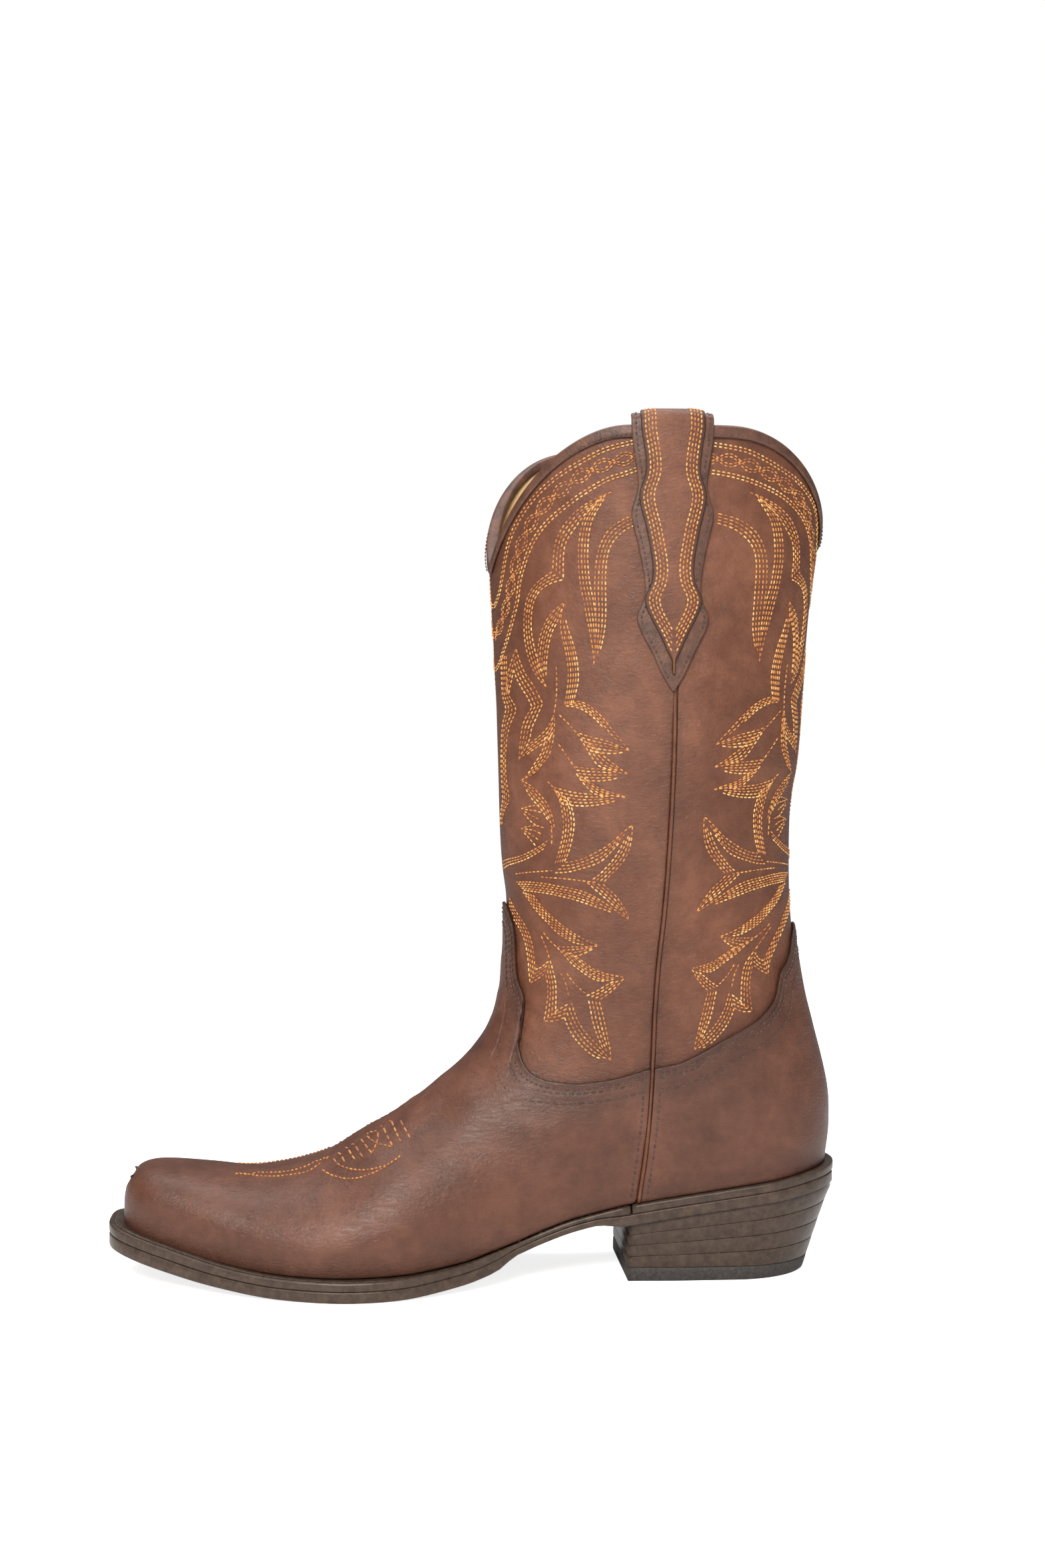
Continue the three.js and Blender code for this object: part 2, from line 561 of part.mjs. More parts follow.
// leather folded over the top line, with one leg outside and one leg inside
function buildBinding(end) {
  const high = (angle) => topLineZ(angle, end);
  const grid = shaftGrid(end, (angle) => high(angle) - BINDING_DEPTH, high, 1);
  const [outer, inner] = [FIT_GAP, shaftInside - LINING_LEATHER - 1.5 * FIT_GAP];
  const profile = [
    [outer + BINDING_LEATHER, -BINDING_DEPTH],
    [outer + BINDING_LEATHER, FIT_GAP + 0.4],
    [outer, FIT_GAP + BINDING_LEATHER],
    [inner, FIT_GAP + BINDING_LEATHER],
    [inner - BINDING_LEATHER, FIT_GAP + 0.4],
    [inner - BINDING_LEATHER, -BINDING_DEPTH],
    [inner, -BINDING_DEPTH],
    [inner, FIT_GAP],
    [outer, FIT_GAP],
    [outer, -BINDING_DEPTH],
  ];
  const sections = grid[1].map((top, j) => {
    const n = outward(top);
    const up = unit(minus(top, grid[0][j]));
    return profile.map(([out, rise]) => top.map((v, k) => v + n[k] * out + up[k] * rise));
  });
  add(`top_binding_${end}`, loft(sections, profile), DARK_EDGE);
}

// bead between the front and back pieces, flat where the pull strap covers it
function buildPiping(name, side) {
  const foot = featherZ(seamX(36)) + FIT_GAP + 0.4;
  const top = RIM_HEIGHT - 1.5;
  const sections = range(26).map((t) => {
    const z = foot + (top - foot) * t;
    const x = seamX(z);
    const y = halfWidth(x, z, side);
    const proud = PIPING_PROUD - (PIPING_PROUD + 0.1) * smooth((z - (STRAP_TIP - 14)) / 10);
    const half = PIPING_WIDTH / 2;
    return [
      [x - half, y - SHAFT_LEATHER], [x - half, y + proud - 0.5], [x, y + proud], [x + half, y + proud - 0.5],
      [x + half, y - SHAFT_LEATHER],
    ].map(([px, py]) => [px, side * py, z]);
  });
  add(name, loft(sections), BROWN_LEATHER);
}

// half width of the strap backing at a height outside the shaft
const STRAP_OUTLINE = [
  [0, 0], [6.3, 0.25], [15.3, 0.5], [28.3, 0.87], [36.3, 0.71], [44.3, 0.68], [58.3, 0.83],
  [71.3, 1], [83.3, 0.835],
  [105.3, 1], [120, 1],
].map(([rise, share]) => [STRAP_TIP + rise, share * STRAP_HALF_WIDTH]);

// side path of a strap as [distance out from the shaft surface, height], from its outer tip over the top line
function strapPath(tip) {
  const underBinding = (z) => FIT_GAP + (FIT_GAP + BINDING_LEATHER) * smooth((z - (RIM_HEIGHT - 24)) / 14);
  const outside = range(12).map((t) => tip + (RIM_HEIGHT - tip) * t).map((z) => [underBinding(z), z]);
  const out = underBinding(RIM_HEIGHT);
  const inSide = shaftInside - LINING_LEATHER - BINDING_LEATHER - 3 * FIT_GAP;
  const [middle, half] = [(out + inSide) / 2, (out - inSide) / 2];
  const over = range(6).slice(1, -1).map((t) => [
    middle + half * Math.cos(Math.PI * t), RIM_HEIGHT + 2 + STRAP_RISE * Math.sin(Math.PI * t) * 0.6,
  ]);
  const inside = range(8).map((t) => {
    const loop = Math.sin(Math.PI * t ** 0.8) ** 1.2;
    return [inSide - FINGER_GAP * loop + 1.2 * t, RIM_HEIGHT - 56 * t];
  });
  return [...outside, ...over, ...inside];
}

// strip along a strap path between two distances from it
function strapStrip(side, tip, margin, near, far) {
  const path = strapPath(tip);
  const insideWidth = 0.82 * STRAP_HALF_WIDTH;
  const rows = path.map(([out, z], i) => {
    const [before, after] = [path[Math.max(0, i - 1)], path[Math.min(path.length - 1, i + 1)]];
    const [du, dv] = [after[0] - before[0], after[1] - before[1]];
    const length = Math.hypot(du, dv);
    const past = smooth((i - 14) / 5);
    const outline = lookUp(STRAP_OUTLINE, Math.min(z, RIM_HEIGHT) - (tip - STRAP_TIP));
    const half = Math.max(0.6, (outline - margin) * (1 - past) + (insideWidth - margin) * past);
    return { out, z, nu: dv / length, nv: -du / length, half };
  });
  const layer = (distance) => rows.map(({ out, z, nu, nv, half }) => range(4).map((t) => {
    const height = z + nv * distance;
    const x = seamX(Math.min(z, RIM_HEIGHT)) - 1 + half * (2 * t - 1);
    const surface = halfWidth(x, Math.min(z, RIM_HEIGHT), side);
    return [x, side * (surface + out + nu * distance), height];
  }));
  return shell(layer(far), layer(near));
}

function buildStraps() {
  for (const [word, side] of [["lateral", -1], ["medial", 1]]) {
    buildPiping(`side_piping_${word}`, side);
    const top = STRAP_LEATHER;
    add(`pull_strap_backing_${word}`, strapStrip(side, STRAP_TIP, 0, 0, top), DARK_EDGE);
    const over = top + FIT_GAP;
    const strap = strapStrip(side, STRAP_TIP + 7, STRAP_MARGIN, over, over + STRAP_LEATHER);
    add(`pull_strap_${word}`, strap, BROWN_LEATHER);
  }
}

// ---- the bottom ----------------------------------------------------------------------------------------
const TOE_TIP = -BOOT_LENGTH / 2 + 1.5;
const HEEL_BACK = TOE_TIP + BOOT_LENGTH;
const BREAST = along(65.5); // front face of the heel
const SOLE_AT_REST = OUTSOLE_THICKNESS + FIT_GAP + WELT_THICKNESS;

// outline of the sole in plan, square at the toe and round at the heel
function soleEdge(x, side, inset = 0) {
  const toe = Math.min(1, Math.max(0, (x - TOE_TIP - inset) / 26));
  const heel = Math.min(1, Math.max(0, (HEEL_BACK - inset - x) / 36));
  const ball = FOREFOOT_SPREAD * Math.exp(-(((x - along(-55)) / 45) ** 2));
  const full = lookUp(side < 0 ? SOLE_OUTER : SOLE_INNER, x) + ball - inset;
  return Math.max(0.8, full * (1 - (1 - toe) ** 4) ** (1 / 3) * Math.sqrt(1 - (1 - heel) ** 2));
}

// thickness of welt and outsole together, pared down at the waist
function soleThickness(x) {
  const waist = smooth((x - along(7)) / 11) - smooth((x - along(49)) / 15);
  const toe = 1.3 * smooth((along(-95) - x) / 40);
  return SOLE_AT_REST + toe - SOLE_AT_REST * (1 - WAIST_SHARE) * waist;
}

const soleBottom = (x) => featherZ(x) - soleThickness(x);
const outsoleShare = OUTSOLE_THICKNESS / SOLE_AT_REST;
const outsoleTop = (x) => soleBottom(x) + soleThickness(x) * outsoleShare;

// stations close together at both ends, where the outline turns
function stations(from, to, count) {
  return range(count).map((t) => from + (to - from) * (0.35 * t + 0.65 * (1 - Math.cos(Math.PI * t)) / 2));
}

// flat piece between two outlines, given by its edges and its two faces along X
function plate(xs, edge, low, high) {
  return loft(xs.map((x) => [
    [x, -edge(x, -1), low(x)], [x, edge(x, 1), low(x)], [x, edge(x, 1), high(x)], [x, -edge(x, -1), high(x)],
  ]));
}

function pegPlaces() {
  const places = [];
  for (const side of [-1, 1]) {
    for (const t of range(PEGS_PER_SIDE - 1)) {
      const x = along(10 + 44 * t);
      places.push({ x, y: side * (soleEdge(x, side) - 4.2), name: side < 0 ? "lateral" : "medial" });
    }
  }
  return places;
}

// strip round the edge of the sole, from one side of the heel round the toe to the other
function weltStrip() {
  const step = (t, side) => {
    const outerX = TOE_TIP + (BREAST - 1 - TOE_TIP) * t;
    const innerX = TOE_TIP + 14 + (BREAST - 1 - TOE_TIP - 14) * t;
    const inner = Math.max(0, lookUp(side < 0 ? UPPER_OUTER : UPPER_INNER, innerX) - 5);
    const innerFull = Math.min(1, (innerX - TOE_TIP - 14) / 16);
    const innerY = Math.max(0.8, inner * (1 - (1 - innerFull) ** 3) ** 0.45);
    return { outerX, outerY: soleEdge(outerX, side), innerX, innerY };
  };
  const count = 20;
  const pace = range(count).map((t) => 0.45 * t ** 3.2 + 0.55 * t);
  const walk = [...pace.map((t) => [t, -1]).reverse(), ...pace.map((t) => [t, 1])];
  return loft(walk.map(([t, side]) => {
    const { outerX, outerY, innerX, innerY } = step(t, side);
    const low = (x) => outsoleTop(x) + SOLE_GAP;
    return [
      [outerX, side * outerY, low(outerX)], [outerX, side * outerY, featherZ(outerX)],
      [innerX, side * innerY, featherZ(innerX)], [innerX, side * innerY, low(innerX)],
    ];
  }));
}

// half width left inside the upper at the feather line when it is drawn in by `inset` all round
function insideEdge(x, side, inset) {
  const reach = range(12).map((t) => (t - 0.5) * Math.PI).map((turn) => {
    const there = x + inset * Math.sin(turn);
    return halfWidth(there, featherZ(there) + 1.5, side) - inset * Math.cos(turn);
  });
  return Math.max(1, Math.min(...reach));
}

function buildBottom() {
  const pegs = pegPlaces();
  const holes = pegs.map(({ x, y }) => pin(x, y, soleBottom(x) - 2, featherZ(x) + 2, PEG_WIDTH / 2 + FIT_GAP, 6));
  const outsole = plate(stations(TOE_TIP, HEEL_BACK - 2, 40), soleEdge, soleBottom, outsoleTop);
  add("outsole", cut(outsole, holes), SOLE_LEATHER);
  add("welt", cut(weltStrip(), holes), DARK_EDGE);
  pegs.forEach(({ x, y, name }, i) => {
    const number = (i % PEGS_PER_SIDE) + 1;
    const low = soleBottom(x) + 0.4;
    add(`peg_${name}_${number}`, pin(x, y, low, featherZ(x) - 0.4, PEG_WIDTH / 2, 6), WOOD);
  });

  const insoleInset = VAMP_LEATHER + STIFFENER + LINING_LEATHER + 2 * TOE_GAP + 2 * FIT_GAP;
  const [front, rear] = [TOE_WALL + insoleInset + 3, backX(50) - insoleInset - 2];
  const insoleEdge = (x, side) => insideEdge(x, side, insoleInset + 0.6);
  const insoleLow = (x) => featherZ(x) + FIT_GAP;
  const insoleHigh = (x) => insoleLow(x) + INSOLE_THICKNESS;
  add("insole", plate(stations(front, rear, 26), insoleEdge, insoleLow, insoleHigh), BOARD);

  const sockEdge = (x, side) => (insoleEdge(x, side) - 2) * smooth((x - along(48)) / 18 + 0.35);
  const sockLow = (x) => insoleHigh(x) + FIT_GAP;
  const sock = stations(along(50), rear - 2, 14);
  add("sock_pad", plate(sock, sockEdge, sockLow, (x) => sockLow(x) + SOCK_THICKNESS), TAN_LINING);

  const shankLow = (x) => outsoleTop(x) + SOLE_GAP;
  const shankHigh = (x) => featherZ(x) - FIT_GAP;
  const shankEdge = () => SHANK_WIDTH / 2;
  add("shank", plate(stations(along(-12), along(88), 12), shankEdge, shankLow, shankHigh), STEEL);

  const fillerEdge = (x, side) => {
    const full = Math.min(1, Math.max(0, (x - TOE_TIP - 15) / 16));
    const upper = lookUp(side < 0 ? UPPER_OUTER : UPPER_INNER, x - 1) - 6.5;
    return Math.max(1, upper * (1 - (1 - full) ** 3) ** 0.45 - 1.2);
  };
  const filler = stations(TOE_TIP + 16.5, along(-13) - 1, 16);
  add("bottom_filler", plate(filler, fillerEdge, shankLow, shankHigh), CORK);
}

// ---- the heel ------------------------------------------------------------------------------------------
// outline of the heel at a height: D shaped, leaning in towards the ground
function heelOutline(z) {
  const rise = Math.min(1, z / (soleBottom(HEEL_BACK - 10) - 2));
  const back = HEEL_BACK - 1 - HEEL_UNDERCUT * (1 - rise) ** 0.9;
  const breast = BREAST - 1.5 * (1 - rise);
  const spread = HEEL_CAP_HALF_WIDTH + (soleEdge(along(115), -1) - 1 - HEEL_CAP_HALF_WIDTH) * rise ** 0.85;
  return { back, breast, spread };
}

// one layer of the stack between two surfaces z(x)
function heelLayer(low, high) {
  const level = (surface, t) => {
    let x = BREAST + (HEEL_BACK - BREAST) * t;
    let shape = heelOutline(surface(x));
    for (let k = 0; k < 5; k++) {
      shape = heelOutline(surface(x));
      x = shape.breast + (shape.back - shape.breast) * t;
    }
    const round = Math.min(1, (1 - t) / 0.42);
    const start = 0.965 + 0.035 * smooth(t / 0.3);
    const half = Math.max(0.8, shape.spread * start * Math.sqrt(1 - (1 - round) ** 2));
    return { x, z: surface(x), half };
  };
  const ts = range(20).map((t) => 1 - (1 - t) ** 1.7);
  return loft(ts.map((t) => {
    const [bottom, top] = [level(low, t), level(high, t)];
    return [
      [bottom.x, -bottom.half, bottom.z], [bottom.x, bottom.half, bottom.z],
      [top.x, top.half, top.z], [top.x, -top.half, top.z],
    ];
  }));
}

// U-shaped strip that levels the seat between the outsole and the counter
function randStrip() {
  const count = 16;
  const walk = range(2 * count).map((t) => 2 * t - 1);
  const front = BREAST;
  return loft(walk.map((turn) => {
    const side = Math.sign(turn) || 1;
    const t = 1 - Math.abs(turn);
    const bend = 1 - (1 - t) ** 1.6;
    const outerX = front + (HEEL_BACK - front) * bend;
    const innerX = front + (HEEL_BACK - 14 - front) * bend;
    const outerY = bend === 1 ? 0 : soleEdge(Math.min(outerX, HEEL_BACK), side);
    const round = Math.sqrt(Math.max(0, 1 - (1 - Math.min(1, (HEEL_BACK - 14 - innerX) / 24)) ** 2));
    const innerY = 22 * round;
    const low = (x) => outsoleTop(x) + SOLE_GAP;
    return [
      [outerX, side * outerY, low(outerX)], [outerX, side * outerY, featherZ(outerX)],
      [innerX, side * innerY, featherZ(innerX)], [innerX, side * innerY, low(innerX)],
    ];
  }));
}

function buildHeel() {
  add("heel_rand", randStrip(), DARK_EDGE);
  const nailHole = ([x, y]) => pin(x, y, -1, CAP_THICKNESS + 1, NAIL_DIAMETER / 2 + FIT_GAP, 12);
  const cap = heelLayer(() => 0, () => CAP_THICKNESS);
  add("heel_cap", cut(cap, NAILS.map(nailHole)), RUBBER);
  NAILS.forEach(([x, y], i) => {
    add(`heel_nail_${i + 1}`, pin(x, y, 0.5, CAP_THICKNESS - 0.2, NAIL_DIAMETER / 2, 12), BRASS);
  });
  const stack = (share) => (x) => CAP_THICKNESS + (soleBottom(x) - CAP_THICKNESS) * share;
  for (let i = 0; i < LIFT_COUNT; i++) {
    const low = (x) => stack(i / LIFT_COUNT)(x) + FIT_GAP;
    const high = (x) => stack((i + 1) / LIFT_COUNT)(x) - (i === LIFT_COUNT - 1 ? FIT_GAP : 0);
    add(`heel_lift_${i + 1}`, heelLayer(low, high), DARK_EDGE);
  }
}

buildVamp();
buildCounter();
buildShaft();
buildStraps();
buildBottom();
buildHeel();

// the frame stands under the middle of the boot's box
const box = new THREE.Box3().setFromObject(boot, true);
boot.position.set(-(box.min.x + box.max.x) / 2, -(box.min.y + box.max.y) / 2, -box.min.z);

export default boot;
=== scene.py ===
import math
import bpy
import numpy as np
from mathutils import Matrix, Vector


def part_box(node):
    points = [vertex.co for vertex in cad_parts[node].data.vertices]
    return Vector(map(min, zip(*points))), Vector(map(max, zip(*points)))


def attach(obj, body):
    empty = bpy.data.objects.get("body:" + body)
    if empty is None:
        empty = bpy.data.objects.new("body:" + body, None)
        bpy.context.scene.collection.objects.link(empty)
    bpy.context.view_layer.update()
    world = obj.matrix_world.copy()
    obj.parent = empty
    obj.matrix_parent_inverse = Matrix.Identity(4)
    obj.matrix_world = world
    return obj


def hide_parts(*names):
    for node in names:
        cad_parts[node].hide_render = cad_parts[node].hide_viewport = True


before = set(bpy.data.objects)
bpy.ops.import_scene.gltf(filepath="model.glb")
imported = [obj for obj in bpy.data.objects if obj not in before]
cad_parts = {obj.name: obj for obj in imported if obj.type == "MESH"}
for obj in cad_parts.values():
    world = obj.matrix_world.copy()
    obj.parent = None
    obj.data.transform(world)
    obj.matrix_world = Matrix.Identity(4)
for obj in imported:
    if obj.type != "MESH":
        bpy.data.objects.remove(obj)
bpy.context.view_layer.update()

# ---- Camera -------------------------------------------------------------------------------------------
# The boot is seen from its outer side at mid height, with the toe to the left. Shapes are worked out in
# millimetres from the boot's own zero point, which the sole, the seam beads and the heel cap give.
MM = 0.001
beads = [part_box("side_piping_lateral"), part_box("side_piping_medial")]
ZERO = np.array([
    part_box("outsole")[0][0] + 153 * MM,
    (beads[0][0][1] + beads[0][1][1] + beads[1][0][1] + beads[1][1][1]) / 4,
    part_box("heel_cap")[0][2],
])
eye = bpy.data.cameras.new("eye")
eye.lens, eye.sensor_fit, eye.sensor_height, eye.sensor_width = 50, "VERTICAL", 36, 36
eye.clip_start, eye.clip_end = 0.05, 40
camera = bpy.data.objects.new("camera", eye)
camera.location = ZERO + np.array([-42.9, -927.3, 234]) * MM
camera.rotation_euler = (math.radians(90 - 1.64), 0, math.radians(-4.0))
bpy.context.collection.objects.link(camera)
bpy.context.scene.camera = camera

# ---- Room ---------------------------------------------------------------------------------------------
# A white floor under broad soft light: a large panel in front and above, a weaker one on the right and a
# long one overhead, in a room whose walls give a soft even glow.
view = bpy.context.scene.view_settings
view.view_transform, view.look, view.exposure = "Standard", "None", 0.0

world = bpy.data.worlds.new("room")
bpy.context.scene.world = world
world.use_nodes = True
sky = world.node_tree
glow = sky.nodes["Background"]
glow.inputs["Strength"].default_value = 1.0
where = sky.nodes.new("ShaderNodeTexCoord")
split = sky.nodes.new("ShaderNodeSeparateXYZ")
sky.links.new(where.outputs["Generated"], split.inputs[0])
walls = sky.nodes.new("ShaderNodeValToRGB")
walls.color_ramp.elements[0].color = (0.05, 0.049, 0.048, 1)
walls.color_ramp.elements[0].position = 0.38
walls.color_ramp.elements[1].color = (0.30, 0.30, 0.31, 1)
walls.color_ramp.elements[1].position = 0.85
height = sky.nodes.new("ShaderNodeMath")
height.operation = "MULTIPLY_ADD"
height.inputs[1].default_value, height.inputs[2].default_value = 0.5, 0.5
sky.links.new(split.outputs["Z"], height.inputs[0])
sky.links.new(height.outputs[0], walls.inputs[0])
path = sky.nodes.new("ShaderNodeLightPath")
shown = sky.nodes.new("ShaderNodeMix")
shown.data_type = "RGBA"
shown.inputs["B"].default_value = (1, 1, 1, 1)
sky.links.new(path.outputs["Is Camera Ray"], shown.inputs["Factor"])
sky.links.new(walls.outputs[0], shown.inputs["A"])
sky.links.new(shown.outputs["Result"], glow.inputs["Color"])


def panel_light(name, place, target, size, power, tint=(1, 1, 1)):
    """A rectangular soft light at a place, turned towards a target, both in metres."""
    lamp = bpy.data.lights.new(name, "AREA")
    lamp.shape, lamp.size, lamp.size_y, lamp.energy, lamp.color = "RECTANGLE", size[0], size[1], power, tint
    holder = bpy.data.objects.new(name, lamp)
    back = np.array(place, float) - np.array(target, float)
    back /= np.linalg.norm(back)
    side = np.cross([0, 0, 1.0], back)
    side /= np.linalg.norm(side)
    turn = np.stack([side, np.cross(back, side), back], 1)
    holder.matrix_world = Matrix([[*turn[0], place[0]], [*turn[1], place[1]], [*turn[2], place[2]],
                                  [0, 0, 0, 1]])
    bpy.context.collection.objects.link(holder)


panel_light("key_panel", (-0.32, -1.3, 1.0), (0, 0, 0.17), (0.55, 0.6), 33, (1, 0.96, 0.91))
panel_light("fill_panel", (1.1, -0.9, 0.6), (0, 0, 0.17), (0.6, 0.9), 2.5)
panel_light("top_panel", (0.0, 0.25, 1.3), (0, 0, 0.1), (1.4, 0.7), 13)

floor_mesh = bpy.data.meshes.new("floor")
floor_mesh.from_pydata([(-9, -9, 0), (9, -9, 0), (9, 9, 0), (-9, 9, 0)], [], [(0, 1, 2, 3)])
floor = bpy.data.objects.new("floor", floor_mesh)
bpy.context.collection.objects.link(floor)
paper = bpy.data.materials.new("paper")
paper.use_nodes = True
paper_shader = paper.node_tree.nodes["Principled BSDF"]
paper_shader.inputs["Base Color"].default_value = (0.93, 0.93, 0.93, 1)
paper_shader.inputs["Roughness"].default_value = 0.9
paper_shader.inputs["Specular IOR Level"].default_value = 0.1
paper_shader.inputs["Emission Color"].default_value = (0.8, 0.8, 0.8, 1)
seen = paper.node_tree.nodes.new("ShaderNodeLightPath")
paper.node_tree.links.new(seen.outputs["Is Camera Ray"], paper_shader.inputs["Emission Strength"])
floor_mesh.materials.append(paper)

# ---- Vamp ---------------------------------------------------------------------------------------------
# The leather that covers the foot, lasted over the toe and lapped over the front of the shaft. It is one
# piece of thick waxed brown cowhide, sewn to the shaft with a double and a single dark row.


def smooth(t):
    """Eases from 0 to 1: three t squared less two t cubed, held outside 0..1."""
    t = np.clip(t, 0, 1)
    return t * t * (3 - 2 * t)


def spline(points, steps=8):
    """Catmull-Rom curve: each span is the cubic through its two ends whose slopes are half the span between
    their neighbours; every span is cut into even steps at once."""
    p = np.asarray(points, float)
    q = np.vstack([2 * p[0] - p[1], p, 2 * p[-1] - p[-2]])
    a, b, c, d = q[:-3, None], q[1:-2, None], q[2:-1, None], q[3:, None]
    t = (np.arange(steps) / steps)[None, :, None]
    fine = 0.5 * (2 * b + (c - a) * t + (2 * a - 5 * b + 4 * c - d) * t**2 + (3 * b - a - 3 * c + d) * t**3)
    return np.vstack([fine.reshape(-1, p.shape[1]), p[-1:]])


FRONT_LINE = spline([
    [-152, 48.4, 21], [-130, 47.6, 22], [-110, 46, 25], [-93, 44.6, 28], [-76, 46.6, 31], [-60, 51.6, 35],
    [-44.5, 61, 40], [-30, 69.3, 46], [-12.5, 83, 56], [1.5, 96, 62], [10.9, 112, 63], [14.6, 135, 61.5],
    [15, 158, 62.5], [13, 181, 66], [11.9, 215, 68.5], [10.8, 255, 70], [9.4, 290, 71.5], [6, 352.5, 74],
])
BACK_LINE = spline([
    [152, 30, 34], [152.4, 46, 35], [154.1, 60, 38], [153.8, 76, 42], [150.8, 90, 48], [146, 105, 55],
    [141.2, 122, 60], [137.9, 145, 61], [136.5, 168, 60], [136.6, 200, 58], [139.5, 220, 59.5],
    [142, 255, 61],
    [145.2, 290, 63.5], [149.4, 320, 67], [151.5, 352.5, 69],
])
SEAM_LINE = spline([
    [67.2, 20], [68.4, 37], [70.6, 54], [72.2, 70.5], [73.4, 92.5], [74.1, 114], [75.4, 134], [78, 161],
    [80.2, 202], [81, 246], [80.5, 300], [80, 362],
])
FEATHER_LINE = spline([
    [-156, 25.4], [-150, 24], [-130, 18.5], [-109, 13], [-88, 9.6], [-67, 8.4], [-47, 8.3], [-26, 9.2],
    [-5, 12.2], [7, 15.6], [18, 19.2], [28, 23], [39.4, 27], [53, 30.4], [62.5, 32.5], [72, 34.1], [87, 36.4],
    [107, 39.3], [128, 42.4], [142, 44.6], [160, 46.6],
])
UPPER_OUTER = spline([
    [-150, 18], [-140, 22], [-120, 29.5], [-95, 39], [-70, 47], [-50, 49.5], [-30, 48], [-10, 43], [10, 37.5],
    [30, 34], [60, 32.3], [90, 32.6], [120, 33], [160, 33],
])
UPPER_INNER = spline([
    [-150, 18], [-140, 22], [-120, 30], [-95, 39.5], [-70, 45], [-50, 44.5], [-30, 39.5], [-10, 33.5],
    [10, 29.5],
    [30, 28], [60, 29.5], [90, 31.5], [120, 32.5], [160, 33],
])
SHAFT_WIDTHS = spline([
    [60, 36], [90, 37], [110, 37.6], [130, 38.6], [150, 40.2], [180, 43], [210, 45.2], [250, 47.2], [300, 49],
    [352.5, 50.5],
])
RIM, FRONT_DIP, BACK_DIP = 352.5, 300, 311
TOE_WALL = -146.8
low_front = FRONT_LINE[FRONT_LINE[:, 1].argmin():]


def front_x(z):
    return np.interp(z, low_front[:, 1], low_front[:, 0])


def back_x(z):
    return np.interp(z, BACK_LINE[:, 1], BACK_LINE[:, 0])


def seam_x(z):
    return np.interp(z, SEAM_LINE[:, 1], SEAM_LINE[:, 0])


def feather_z(x):
    return np.interp(x, FEATHER_LINE[:, 0], FEATHER_LINE[:, 1])


def nearest(line, x, z):
    """Distance from each point to a side-view line, the line's rounding depth there, and the side it lies
    on: the closest point of every segment is found at once and the smallest distance is kept."""
    points = np.stack([np.ravel(x), np.ravel(z)], 1)
    start, run = line[:-1], np.diff(line, axis=0)
    found = []
    for part in np.array_split(points, 1 + len(points) // 15000):
        away = part[:, None] - start[:, :2]
        t = np.clip((away * run[:, :2]).sum(2) / (run[:, :2] ** 2).sum(1), 0, 1)
        away = away - t[..., None] * run[:, :2]
        k = (away**2).sum(2).argmin(1)
        each = np.arange(len(part))
        d = away[each, k]
        side = np.sign(run[k, 0] * d[:, 1] - run[k, 1] * d[:, 0])
        found.append([np.hypot(d[:, 0], d[:, 1]), start[k, 2] + t[each, k] * run[k, 2], side])
    return np.concatenate(found, 1).reshape(3, *np.shape(x))


def fullness(x, z):
    """1 where the boot is widest and 0 on its side-view outline: one less the powers of how near a point is
    to the front line, the toe wall and the back line, each measured in rounding depths."""
    x, z = np.broadcast_arrays(np.asarray(x, float), np.asarray(z, float))
    d, depth, side = nearest(FRONT_LINE, x, z)
    from_front = np.where(side > 0, -d / depth, np.minimum(1, d / depth))
    d, depth, side = nearest(BACK_LINE, x, z)
    from_back = np.where(side < 0, -d / depth, np.minimum(1, d / depth))
    from_toe = np.minimum(1, (x - TOE_WALL) / 23)
    power = 2 + smooth((-60 - x) / 60)
    return 1 - (1 - from_front) ** power - (1 - from_toe) ** 4 - (1 - from_back) ** 2


def half_width(x, z, side):
    """Half width of the boot at side-view points: the plan half width of the foot with a slight outward
    lean blends into the shaft's half width above the ankle, times the fullness to the power one over the
    corner power."""
    lean = 2.6 * np.sin(np.clip((z - feather_z(x)) / 22, 0, 1) * np.pi / 2)
    outer = np.interp(x, UPPER_OUTER[:, 0], UPPER_OUTER[:, 1])
    inner = np.interp(x, UPPER_INNER[:, 0], UPPER_INNER[:, 1])
    climb = smooth((z - 48) / 80)
    widest = (np.where(side < 0, outer, inner) + lean) * (1 - climb)
    widest = widest + np.interp(z, SHAFT_WIDTHS[:, 0], SHAFT_WIDTHS[:, 1]) * climb
    corner = 2 + 0.9 * smooth((-95 - x) / 45)
    return widest * np.maximum(0, fullness(x, z)) ** (1 / corner)


def on_boot(x, z, side):
    """Point on the finished leather at a place in side view, on one side. Towards the rim the front of the
    shaft stands twisted a little: it leads on the inner side and trails on the outer one, in proportion to
    the width."""
    y = side * half_width(x, z, side)
    twist = 0.15 * smooth((z - 190) / 110) * smooth((92 - x) / 60)
    return np.stack(np.broadcast_arrays(x - twist * y, y, z), -1)


def shaft_x(angle, z, end):
    """X at an angle round the shaft: from the side seam towards the centre line by the cosine of the
    angle."""
    centre, hand = (front_x(z), -1) if end == "front" else (back_x(z), 1)
    seam = seam_x(z) + hand * 1.15
    return seam + (centre - seam) * np.cos(np.radians(angle))


VAMP_COLLAR = np.array([
    [0, 157], [7, 156], [12, 152.5], [17.5, 148], [20, 141.5], [22, 133], [25, 125.5], [31, 120], [33.7, 116],
    [35, 107], [38.7, 99], [45, 92.7], [52, 87.6], [59, 84.7], [69, 83.7], [78, 85.4], [86, 88.4], [90, 90.4],
])
COUNTER_COLLAR = np.array([
    [0, 147.5], [12, 144.5], [17, 142], [23, 136], [29, 131.5], [35, 128.5], [38, 123], [40.5, 118],
    [45, 114],
    [51.5, 109.6], [59, 105.8], [68, 101.3], [75, 96.7], [82.5, 92.3], [90, 90.4],
])


